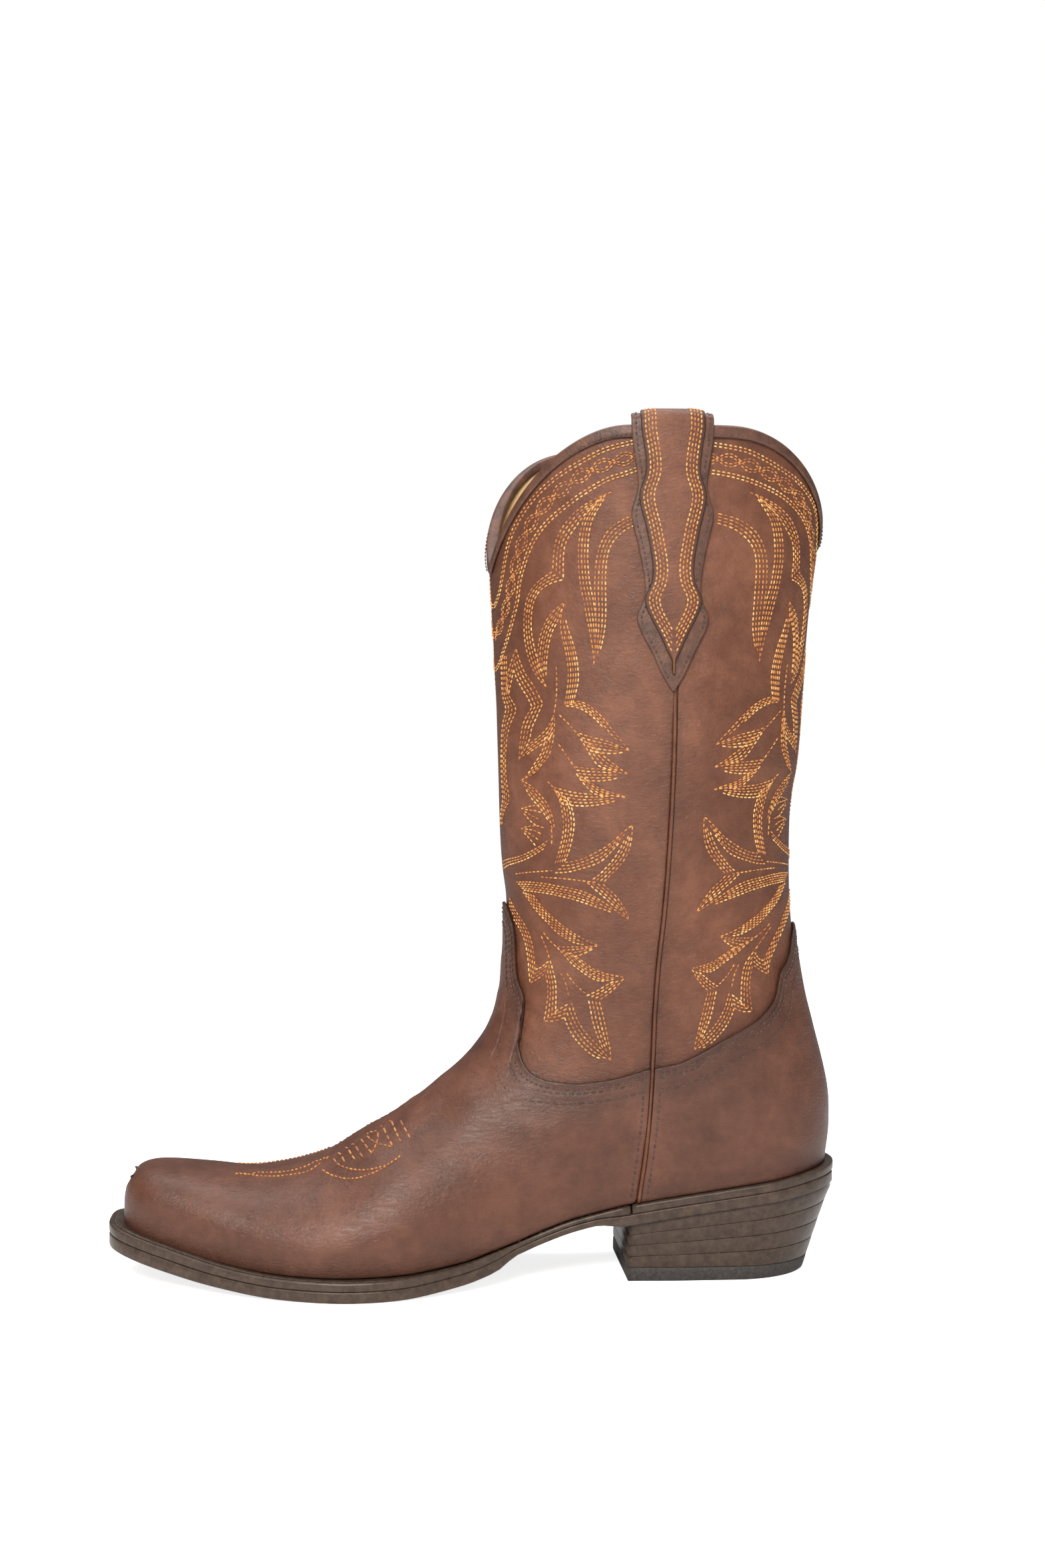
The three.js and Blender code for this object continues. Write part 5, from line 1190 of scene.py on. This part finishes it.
LEAVES = [
    # flame under the rim, its hooked tail, and the split leaf beside it
    ([(62, 327.2), (56, 325), (50, 322), (45, 318), (41, 313), (38.5, 308), (37.3, 302), (36.8, 296.5)],
     [(62, 327.2), (57, 323.5), (51, 319), (47, 314), (44, 310), (42, 306), (41.2, 300), (41, 292.7)], 4),
    ([(36.8, 295.7), (30, 291.5), (25.5, 286), (23.7, 279), (23.4, 273), (24.2, 266), (26.5, 259), (30, 253),
      (35, 248.2)],
     [(41, 292.2), (36, 291), (31, 288), (28, 283), (27, 277), (27.2, 271), (28.5, 265), (30.5, 259),
      (35, 248.2)], 4),
    ([(41.3, 282.8), (37, 279.5), (33.5, 275), (31.5, 270), (30.5, 265), (30.3, 259), (31.5, 254),
      (35, 248.2)],
     [(41.3, 282.8), (39, 276), (36.5, 271), (35.2, 266), (34.5, 260), (34.4, 254), (35, 248.2)], 5),
    ([(41.3, 282.8), (40, 276), (40.5, 270), (42, 265), (43.2, 260), (44, 255), (44.2, 249), (43.5, 240.5)],
     [(41.3, 282.8), (41.8, 277), (43.5, 271), (45.5, 266), (47, 261), (48, 256), (48.4, 250), (46.8, 241)],
     5),
    ([(38.8, 257), (39.4, 250), (39.5, 242), (38.6, 235)],) * 2 + (1,),
    # tall double flame next to the strap
    ([(58, 326), (52.5, 320.5), (49.5, 315), (48, 309), (47.4, 303), (47.4, 297), (48, 290), (49.5, 283),
      (51, 276),
      (52.5, 270), (54, 263), (54.8, 257)],
     [(60, 326.5), (56.5, 321.5), (53.3, 316), (51.8, 310), (51.2, 303), (51.2, 297), (51.9, 290),
      (53.5, 283),
      (54.6, 276), (55, 270), (55, 263), (54.8, 257)], 4),
    ([(73.8, 318), (68, 316.5), (63, 314), (59.5, 311), (57, 307), (55.5, 303), (54.5, 298), (54, 292),
      (54, 286),
      (54.5, 280), (54.8, 272), (54.9, 264), (54.8, 257)],
     [(74, 314.2), (69, 312.5), (65, 310), (62, 307), (60, 303.5), (59, 299), (58.5, 293), (58.6, 285),
      (58.8, 277),
      (58.5, 271), (57.5, 265), (56, 260), (54.8, 257)], 4),
    # zigzag down the centre line
    ([(12.5, 262), (13, 250), (14.5, 245), (19.5, 239.2), (16, 233), (13.5, 227), (12.5, 221), (12, 215),
      (13, 208),
      (14.8, 201), (10, 196.5), (6, 190)],
     [(8, 262), (8.5, 250), (9.3, 245), (12.3, 239.2), (9.5, 233), (8.2, 227), (7.6, 221), (7.2, 215),
      (7.6, 208),
      (8.4, 201), (5.5, 196.5), (2, 190)], 4),
    ([(19, 264.5), (21.5, 258.5), (25, 253), (29, 248.5), (33.5, 241.5)],
     [(17.5, 256), (19.5, 252), (23, 247.5), (26, 244), (28.5, 240)], 4),
    ([(19, 264.5), (15.5, 258), (13.2, 252), (12.8, 246)],
     [(17.5, 256), (16.5, 252), (15.5, 249), (14.5, 245.5)], 3),
    # heart-shaped pair and its stem
    ([(28.5, 240), (24.5, 234), (23, 228), (22.4, 222), (22.2, 217.8)],
     [(33.5, 241.5), (31, 236), (28.7, 231), (27.5, 226), (22.2, 217.8)], 4),
    ([(38.7, 236), (37, 232.3), (34, 229), (30, 226), (27, 224), (24, 221), (22.2, 217.8)],
     [(39, 230), (37.2, 226.5), (34, 224.6), (30, 222.5), (26, 220), (22.2, 217.8)], 4),
    ([(39.2, 236), (39.5, 231), (39, 225), (37.5, 220), (34, 216), (31, 213), (27, 211), (23.3, 209.5)],
     [(35.4, 228), (35.2, 225), (34, 221), (31, 217), (28, 213), (23.3, 209.5)], 4),
    # feathered tips on the left
    ([(23.3, 209.5), (27, 208.3), (31, 206), (34, 203.5), (37, 200.5), (39, 197), (40.5, 193), (40.9, 190)],
     [(23.3, 209.5), (27, 205), (30, 201.5), (32.5, 199.5), (35, 197), (37, 194.5), (38.5, 192), (39.5, 189)],
     4),
    ([(23, 197.5), (28, 198.7), (33, 199.4), (36, 199)], [(23, 197.5), (26, 195), (29, 192.5), (32, 190.8)],
     4),
    ([(22.7, 189), (27, 190.3), (32, 190.8), (36, 190)], [(22.7, 189), (26, 187), (29, 184.5), (31.5, 182.3)],
     4),
    ([(38, 185), (35, 183), (31, 181), (26, 179), (20, 177.3), (12, 176), (4, 174.5)],
     [(36, 181.5), (33, 180), (29, 178), (24, 176.2), (18, 174.7), (12, 173.5), (4, 171.5)], 3),
    ([(39.5, 190), (39.8, 186.5), (39.5, 183)],) * 2 + (1,),
    # three arrows to the right with their ribs
    ([(48, 242.5), (52, 241.5), (56, 239), (60, 235.5), (64, 231), (68, 226.5), (72, 222)],
     [(43.5, 240.5), (49, 239.8), (54, 237.3), (58, 234), (61, 231), (64, 227.8), (72, 222)], 4),
    ([(50, 229.3), (56, 227.6), (62, 226.2), (67, 224.2), (72, 222)],
     [(55, 222.2), (60, 221.3), (63, 221), (67, 221.1), (72, 222)], 5),
    ([(41, 237), (44, 234.5), (48, 230.7), (51, 227.7)],) * 2 + (1,),
    ([(56, 225), (60, 221), (64, 218), (68, 215), (72, 212.5)],
     [(51, 227.5), (54, 223), (57, 218.7), (60.5, 215.5), (72, 212.5)], 4),
    ([(49, 215.5), (55, 214.8), (61, 214.5), (66, 213.6), (72, 212.5)],
     [(52, 210), (57, 209.8), (62, 209.8), (67, 210.8), (72, 212.5)], 5),
    ([(41.5, 225), (44, 222), (47, 218.2), (50, 214.2)],) * 2 + (1,),
    ([(55, 210.5), (58, 208), (62, 206), (67, 204.5), (71.5, 203)],
     [(50, 213), (53, 209.3), (56, 206.3), (60, 204), (71.5, 203)], 4),
    ([(40, 207), (45, 205.8), (50, 204.8), (56, 204.3), (64, 204), (71.5, 203)],
     [(43.5, 200.5), (50, 199.5), (56, 199.5), (63, 200.5), (71.5, 203)], 5),
    ([(37, 209.5), (40, 207), (42.5, 203)],) * 2 + (1,),
    # stem down to the lower leaves
    ([(41, 206), (43.5, 201), (44.5, 197), (45.2, 193), (45.2, 189), (44.5, 185), (43, 180), (41, 175)],
     [(46.5, 203), (49, 198), (50, 193), (49.8, 189), (49, 185), (47.5, 180), (45.5, 176)], 5),
    ([(45.5, 176), (50, 176.5), (55, 178), (60, 180.5), (65, 183.5), (69, 187), (73, 190.5), (74.7, 191.6)],
     [(40.5, 171.5), (47, 172), (53, 173.5), (58, 175), (62, 176.8), (65, 179.5), (69, 184), (74.7, 191.6)],
     4),
    ([(74.7, 191.6), (74.5, 186), (73.5, 181), (71.5, 177), (69, 174), (66, 171), (63, 168)],
     [(74.7, 191.6), (72.3, 187), (69.7, 181.5), (66.8, 177), (64, 174), (61, 171), (58, 169)], 4),
    ([(17, 170), (28, 171.3), (40, 172.4)],) * 2 + (1,),
    ([(33, 169.5), (45, 169.2), (54, 168.5), (60, 168)],) * 2 + (1,),
    ([(17, 166.5), (24, 167), (30, 167), (36, 166.7), (42, 166), (48, 165.3), (54, 164), (60, 161.5),
      (67, 157.5),
      (75.2, 152.6)],
     [(22, 163.5), (29, 163.2), (36, 162.8), (42, 162), (48, 161), (54, 159.5), (60, 157.8), (66, 156),
      (71, 154.2),
      (75.2, 152.6)], 5),
    ([(62.5, 167.5), (65.5, 165), (68.5, 162.5), (71, 159.5), (73.5, 156), (75.2, 152.6)],
     [(55.5, 168.3), (59, 165.3), (62, 163), (65.5, 160.2), (70, 156.7), (75.2, 152.6)], 4),
    ([(28, 162), (32, 158), (36, 155), (41, 151.5), (46, 148.5), (51, 146), (56, 143.8), (62, 141.8)],
     [(21.5, 163), (25, 160), (29, 156), (33, 153), (37, 150), (41, 147), (46, 144.5), (52, 142.3),
      (62, 141.8)], 5),
    ([(62, 141.6), (56, 141), (50, 140.8), (42, 140.6)],
     [(62, 141.6), (58, 139.4), (54, 137.6), (50.5, 136.6)], 4),
    ([(52, 137), (57, 134), (61, 131.8), (66, 130.2), (71, 129.3), (75.5, 128.7)],
     [(42, 140.5), (46, 137.5), (50, 134), (55, 131), (60, 128.3), (65, 127), (75.5, 128.7)], 5),
    ([(75.5, 128.5), (73.5, 126), (71, 123.5), (68, 121), (65, 119)],
     [(75.5, 128.5), (70.5, 126.8), (66.5, 124.6), (63, 122.5), (58.5, 120.5)], 4),
    ([(65, 118.5), (67, 114), (69, 109), (71, 104), (73, 99), (74.7, 93.8)],
     [(60, 119), (61.5, 115), (63, 111), (65, 107), (67.5, 103), (70.3, 99), (74.7, 93.8)], 4),
    ([(52, 118), (54, 114), (56, 111), (58.5, 108), (61, 105.5), (64, 103), (68, 100), (74.7, 93.8)],
     [(50, 111.5), (52, 108.5), (55, 105), (59, 101.5), (63, 98.5), (68, 95.5), (74.7, 93.8)], 4),
    ([(45, 130), (48, 126), (50.5, 120)],) * 2 + (1,),
    ([(48, 130), (52, 126), (56, 123), (58.5, 121.5)],) * 2 + (1,),
    # square-ended tails above the throat
    ([(37.5, 129), (39, 125), (40, 120), (40.2, 115), (40.5, 109.5)],
     [(39, 135), (41, 131), (43, 126), (44, 121), (44.8, 116), (45.5, 112)], 4),
    ([(40.5, 109.5), (44, 109.4), (48, 110.3), (50.5, 111.5)],
     [(44.5, 113.5), (46.5, 114.5), (48.5, 115.7), (50.8, 117)], 4),
    ([(33, 145), (36, 140.5), (38.7, 135.5)],) * 2 + (1,),
    ([(34, 146.5), (38, 143), (42, 140.5)],) * 2 + (1,),
    ([(9, 159.5), (14, 155.5), (20, 151), (24, 147.5), (27, 143), (29, 138.5), (30.3, 134), (31.3, 130)],
     [(8, 155), (12.5, 151.5), (17, 148.5), (21, 145), (24, 140.5), (26, 135.5), (27.5, 130), (29, 124.7)],
     4),
    ([(29, 124.7), (33, 126.5), (37, 129)], [(31, 130.5), (34.5, 131.5), (38.5, 134.5)], 4),
]
RIM_ROWS = {
    "front": [
        [(74, 347.5), (60, 344.5), (50, 340), (41, 335), (33, 329.2), (26, 322.5), (21, 316.5), (17, 310.5),
         (14, 304),
         (11.5, 297), (8, 289), (3.5, 284), (0, 283)],
        [(75.3, 337), (68, 334.5), (60, 332.2), (50, 327), (42, 321.5), (35, 316), (30, 310.5), (26.5, 305),
         (24, 299.5), (21.5, 293), (20, 285), (18, 279), (15, 272), (11, 265), (6, 258.5), (0, 256)],
        [(75, 342), (60, 338.5), (50, 334.5), (41.5, 328.8), (34, 322.8), (28.5, 316.5), (24.5, 310.5),
         (21, 304),
         (18.5, 297), (16, 290), (13, 283), (8, 275), (0, 270)],
    ],
    "back": [
        [(75.5, 346.3), (65.5, 345), (60, 343.9), (52, 341), (44.5, 337.8), (36.7, 334.4), (30, 330.5),
         (22, 325),
         (16.7, 318.3), (13, 311), (9, 303), (5, 297), (0, 295)],
        [(76.2, 335.2), (67.8, 334.1), (60, 332.4), (52, 330), (44.4, 327.2), (37.8, 323.9), (31, 319.4),
         (25.6, 314.4),
         (21, 308.3), (17.8, 301.7), (14, 294), (8, 286), (0, 282)],
        [(76.3, 340.5), (68, 340), (60, 338.5), (54.4, 336.7), (46.7, 333.9), (41, 331), (34.4, 327.2),
         (29, 322.8),
         (24, 316), (19, 308), (14, 300), (8, 293), (0, 289)],
    ],
}


def shifted(row, by, wave=0.0):
    """A row moved sideways by a distance, plus a sine wave along it of a given height and a 19 mm period."""
    fine = spline(row, 10)
    length = np.concatenate([[0], np.cumsum(np.linalg.norm(np.diff(fine, axis=0), axis=1))])
    run = unit(np.gradient(fine, axis=0))
    off = by + wave * np.sin(2 * np.pi * (length - 3) / 19)
    return fine + np.stack([-run[:, 1], run[:, 0]], 1) * off[:, None]


def to_back(points):
    """Where the front's pattern falls on the back: nearer the centre line above, nearer the seam by the
    ankle."""
    s, z = points[..., 0], points[..., 1]
    slide = np.interp(z, [90, 115, 130, 145, 160, 190, 240, 300, 350],
                      [7, 8.3, 8.3, 0, -3, -4.7, -7.5, -8, -3])
    lift = np.interp(z, [90, 130, 155, 195, 222, 245, 350], [4.2, 3.5, 3, 3.4, 2.6, 1.5, 0])
    moved = points.copy()
    moved[..., 0] = np.maximum(1.2, s + slide * np.clip((76 - s) / 32, 0, 1) ** 0.9)
    moved[..., 1] = z + lift
    return moved


fancy = np.concatenate([band(*leaf) for leaf in LEAVES])
for end in ("front", "back"):
    rows = [fancy if end == "front" else to_back(fancy)]
    for row, by, wave, tone in [(RIM_ROWS[end][0], d, 0, 0.9) for d in (-0.65, 0.65)] + [
            (RIM_ROWS[end][1], d, 0, 0.9) for d in (-0.65, 0.65)] + [
            (RIM_ROWS[end][2], d, w, 0.0) for d in (-0.6, 0.6) for w in (-2.1, 2.1)]:
        ends = stitch_run(shifted(row, by, wave), 2.1)
        rows.append(np.concatenate([ends, np.full(ends.shape[:2] + (1,), tone)], 2))
    rows = np.concatenate(rows)
    below = np.interp(rows[..., 0].mean(1), ROUND_MM, np.degrees(turns))
    clear = collar_z(VAMP_COLLAR if end == "front" else COUNTER_COLLAR, below) + 1.5
    rows = rows[rows[..., 1].min(1) > clear]
    chance = np.random.default_rng(3 if end == "front" else 4)
    share = rows[:, 0, 2]
    cloud = soft_noise(51, rows[:, 0, 0] / 5, rows[:, 0, 1] / 5)
    tone = 0.46 + 0.34 * np.abs(share - 0.5) * 2 * (share > 0) + 0.16 * cloud + chance.uniform(-0.2, 0.2,
                                                                                               len(rows))
    tone = np.where(share == 0, 0.52 + 0.1 * cloud + chance.uniform(-0.2, 0.2, len(rows)), tone)
    for word, side in (("lateral", -1.0), ("medial", 1.0)):
        points, normal = on_shaft(rows[..., 0], rows[..., 1], end, side, 0.08)
        thread_stitches(f"fancy_rows_{end}_{word}", points, normal.mean(1), GOLD_THREAD,
                                tone=np.clip(tone, 0, 1))

# rows up both sides of each pull strap, four a side, meeting in a point at the lower end
chance = np.random.default_rng(8)
for word, side in (("lateral", -1), ("medial", 1)):
    grid = STRAP_GRIDS["strap", side]
    width = np.linalg.norm(grid[:, 0] - grid[:, -1], axis=1)
    runs, normals, tones = [], [], []
    field = outward(grid)
    column = np.linspace(0, 1, grid.shape[1])
    spread = np.concatenate([[0], np.cumsum(np.linalg.norm(np.diff(grid, axis=1), axis=2).mean(0))])
    spread /= spread[-1]
    for hand in (0, 1):
        for k in range(4):
            inset = 1.35 + 1.38 * k
            keep = (width > 2 * inset + 0.9) & (np.arange(len(width)) < 86)
            first = np.argmax(keep)
            share = np.where(hand, 1 - inset / np.maximum(width, 0.1),
                             inset / np.maximum(width, 0.1))[first:86]
            at = np.interp(share, spread, np.arange(grid.shape[1]))
            low = np.clip(at.astype(int), 0, grid.shape[1] - 2)
            part = (at - low)[:, None]
            each = np.arange(first, first + len(share))
            line = grid[each, low] * (1 - part) + grid[each, low + 1] * part
            flow = field[each, low]
            ends = stitch_run(np.hstack([line, flow]), 2.05)
            runs.append(ends[..., :3] + ends[..., 3:] * 0.1)
            normals.append(ends[..., 3:].mean(1))
            tones.append(np.full(len(ends), 0.72 if k in (0, 3) else 0.55) + chance.uniform(-0.18, 0.18,
                                                                                            len(ends)))
    thread_stitches(f"strap_rows_{word}", np.concatenate(runs), np.concatenate(normals), GOLD_THREAD,
                            tone=np.clip(np.concatenate(tones), 0, 1))

# ---- Dark seams ---------------------------------------------------------------------------------------
# The vamp and the counter are sewn to the shaft by a double row along the collar and a single row lower,
# and each side seam, binding and strap backing has its own dark row.


def grid_line(grid, distance, from_end, axis):
    """The line at a distance in from one edge of a grid, found along every row or column at once."""
    work = grid if axis == 0 else np.swapaxes(grid, 0, 1)
    work = work[::-1] if from_end else work
    length = np.cumsum(np.linalg.norm(np.diff(work, axis=0), axis=2), axis=0)
    k = (length >= distance).argmax(0)
    each = np.arange(work.shape[1])
    before = np.where(k > 0, length[np.maximum(k - 1, 0), each], 0)
    part = ((distance - before) / (length[k, each] - before))[:, None]
    return work[k, each] * (1 - part) + work[k + 1, each] * part


def offset_row(collar, distance):
    """Row on a cover at a distance below its collar, as distances round the shaft and heights: each point
    moves along the collar's own normal, and loops left by tight corners are cut out by keeping only points
    far enough away."""
    a = np.linspace(0, 90, 361)
    line = np.stack([np.interp(np.radians(a), turns, ROUND_MM), collar_z(collar, a)], 1)
    run = unit(np.gradient(line, axis=0))
    for _ in range(6):
        run[1:-1] = unit(run[:-2] + run[1:-1] + run[2:])
    moved = line + np.stack([run[:, 1], -run[:, 0]], 1) * distance
    apart = np.sqrt(((moved[:, None] - line[None]) ** 2).sum(2)).min(1)
    return moved[(apart > 0.97 * distance) & (moved[:, 0] > 0) & (moved[:, 0] < 88.6)]


dark_rows, dark_normals = [], []
for end, collar, lower in (("front", VAMP_COLLAR, 8.0), ("back", COUNTER_COLLAR, 9.0)):
    for side in (-1.0, 1.0):
        for distance, pitch in ((2.1, 2.3), (3.9, 2.3), (lower, 2.6)):
            ends = stitch_run(offset_row(collar, distance), pitch)
            points, normal = on_shaft(ends[..., 0], ends[..., 1], end, side, VAMP_RISE - 0.12)
            dark_rows.append(points)
            dark_normals.append(normal.mean(1))
for grid in (VAMP_OUTER, COUNTER_OUTER):
    field = outward(grid)
    for from_end in (False, True):
        line = grid_line(grid, 2.3, from_end, 1)
        flow = field[:, -3 if from_end else 2]
        keep = line[:, 2] > feather_z(line[:, 0]) + 2.5
        inside = np.abs(line[:, 0] - seam_x(line[:, 2])) < 5
        line, flow = line[keep & inside], flow[keep & inside]
        ends = stitch_run(np.hstack([line, flow]), 2.4)
        dark_rows.append(ends[..., :3] + ends[..., 3:] * 0.05)
        dark_normals.append(ends[..., 3:].mean(1))
for end in ("front", "back"):
    for side in (-1.0, 1.0):
        a = np.linspace(1.5, 88, 200)
        s = np.interp(np.radians(a), turns, ROUND_MM)
        ends = stitch_run(np.stack([s, top_line_z(a, end) - 2.5], 1), 2.2)
        points, normal = on_shaft(ends[..., 0], ends[..., 1], end, side, 1.36)
        dark_rows.append(points)
        dark_normals.append(normal.mean(1))
for side in (-1, 1):
    grid = STRAP_GRIDS["backing", side]
    field = outward(grid)
    for from_end in (False, True):
        line = grid_line(grid, 1.35, from_end, 1)[3:84]
        flow = field[3:84, -2 if from_end else 1]
        ends = stitch_run(np.hstack([line, flow]), 2.2)
        dark_rows.append(ends[..., :3] + ends[..., 3:] * 0.06)
        dark_normals.append(ends[..., 3:].mean(1))
ends = stitch_run(WELT_GROOVE + np.array([0, 0, 0.12]), 3.1)
dark_rows.append(ends)
dark_normals.append(np.broadcast_to([0, 0, 1.0], ends[:, 0].shape))
chance = np.random.default_rng(12)
points = np.concatenate(dark_rows)
thread_stitches("dark_seams", points, np.concatenate(dark_normals), DARK_THREAD, 0.4, 0.3,
                        chance.uniform(0.1, 0.75, len(points)))

# ---- Toe stitch ---------------------------------------------------------------------------------------
# A small design on the top of the foot, sewn in the same dyed thread: two rows towards the toe, two
# crescents under the pleats, short rows between the pleats and a curl, the same on both sides.
TOE_ROWS = [
    [[-100.1, 44.6], [-93.7, 44.2], [-86, 44.3], [-78.3, 45], [-70.8, 46.7], [-65.2, 49], [-60.3, 52.3]],
    [[-98.7, 44.2], [-90.9, 43.6], [-83.3, 43.7], [-75.7, 44.6], [-69.4, 45.9], [-63.5, 48.7]],
    [[-58.7, 50.7], [-56.1, 49.5], [-51.7, 49.1], [-45.4, 49.5], [-39.2, 51], [-34.3, 53], [-30.5, 55.5]],
    [[-63.4, 47.2], [-59.1, 46.2], [-52.9, 45.9], [-46.7, 47.1], [-39.2, 50.2], [-30.5, 55.3]],
    [[-42.3, 55], [-39.8, 60.2], [-41, 62.1], [-44.2, 61], [-44.4, 59.7], [-40.4, 58.4], [-34.2, 58]],
    [[-30.6, 66.6], [-26.5, 61.3]], [[-35.2, 67.1], [-30.4, 59.7]], [[-39, 65], [-33.9, 58.2]],
    [[-47.4, 58.7], [-42.3, 55]], [[-51.3, 57.4], [-46, 53.3]], [[-53.8, 55.5], [-49.4, 52.1]],
    [[-56.8, 53.6], [-53.6, 50.6]],
]
for word, side in (("lateral", -1.0), ("medial", 1.0)):
    curves = [spline(row, 12) if len(row) > 2 else np.array(row, float) for row in TOE_ROWS]
    ends = np.concatenate([stitch_run(curve, 1.75) for curve in curves])
    x, z = ends[..., 0], ends[..., 1]
    for _ in range(12):
        z = np.where(fullness(x, z) < 0.04, z - 0.4, z)
    middle = VAMP_OUTER.shape[1] // 2
    own_side = slice(middle, None) if side > 0 else slice(None, middle + 1)
    half, slope = VAMP_OUTER[:, own_side], VAMP_NORMAL[:, own_side]
    half, slope = half.reshape(-1, 3), slope.reshape(-1, 3)
    seat = on_boot(x, z, np.broadcast_to(side, x.shape))
    close = ((seat.reshape(-1, 1, 3) - half[None]) ** 2).sum(2).argmin(1).reshape(x.shape)
    normal = slope[close]
    seat = seat + normal * ((half[close] - seat) * normal).sum(-1, keepdims=True)
    thread_stitches(f"toe_stitch_{word}", seat + normal * 0.05, normal.mean(1), GOLD_THREAD, 0.42,
                            0.36,
                            np.random.default_rng(int(side) + 5).uniform(0.3, 0.7, len(ends)))

# ---- Parts that lie inside ----------------------------------------------------------------------------
# The toe box and counter stiffener are pressed board, the insole is vegetable-tanned leather, the filler is
# ground cork, and a sprung steel shank carries the waist.


def pressed_board(name, tone, light, scale, rough=0.85):
    """Fibre, cork or board: speckled grain in two sizes with a dry rough surface."""
    material, tree, shader, place = start_material(name, rough)
    grain = noise(tree, place, scale, 5, 0.7)
    cells = wire(tree, "ShaderNodeTexVoronoi", (place, "Vector"), Scale=scale * 0.8)
    both = counted(tree, "ADD", counted(tree, "MULTIPLY", grain, 0.7),
                   counted(tree, "MULTIPLY", cells.outputs["Distance"], 0.4))
    tree.links.new(ramp(tree, both, (0.35, tone), (0.75, light)), shader.inputs["Base Color"])
    relief(tree, shader, both, 0.5, 0.0006)
    return material


BOARD = pressed_board("stiffener_board", (0.20, 0.15, 0.10), (0.40, 0.32, 0.22), 420)
INSOLE = pressed_board("insole_leather", (0.30, 0.17, 0.08), (0.52, 0.33, 0.17), 300, 0.7)
CORK = pressed_board("filler_cork", (0.13, 0.07, 0.03), (0.42, 0.25, 0.12), 260)
STEEL = brushed_metal("shank_steel", (0.35, 0.36, 0.38), (0.62, 0.63, 0.65), 0.35)
for node, material in (("toe_box", BOARD), ("counter_stiffener", BOARD), ("insole", INSOLE),
                       ("bottom_filler", CORK),
                       ("shank", STEEL)):
    for place_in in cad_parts[node].material_slots:
        place_in.material = material

# ---- Sock -----------------------------------------------------------------------------------------------
# A thin foam pad under the heel of the foot, covered in the lining kid, crowned along its middle, with a
# soft rolled edge; it is glued to the insole.
x = edge_stations(50.0, 143.0, 60)
flat, crown = np.linspace(-1, 1, 31), 2.3
rows = []
for face in (1, 0):
    half = np.where(flat[None] < 0, sole_edge(x, -1)[:, None], sole_edge(x, 1)[:, None]) - 11
    half = half * smooth((x[:, None] - 48) / 18 + 0.35) * np.sqrt(1 - np.clip((x[:, None] - 112) / 31, 0,
                                                                              1) ** 2 * 0.9)
    base = feather_z(x)[:, None] + 3.2 + 0 * flat
    dome = crown * (1 - flat[None] ** 6) * np.clip((143.6 - x[:, None]) / 4, 0, 1) ** 0.5 + 0.15
    rows.append(np.stack([x[:, None] + 0 * flat, half * flat, base + dome * face], -1))
sock = leather_piece("sock_cushion", rows[0], rows[1], KID, 0.1)
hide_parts("sock_pad")
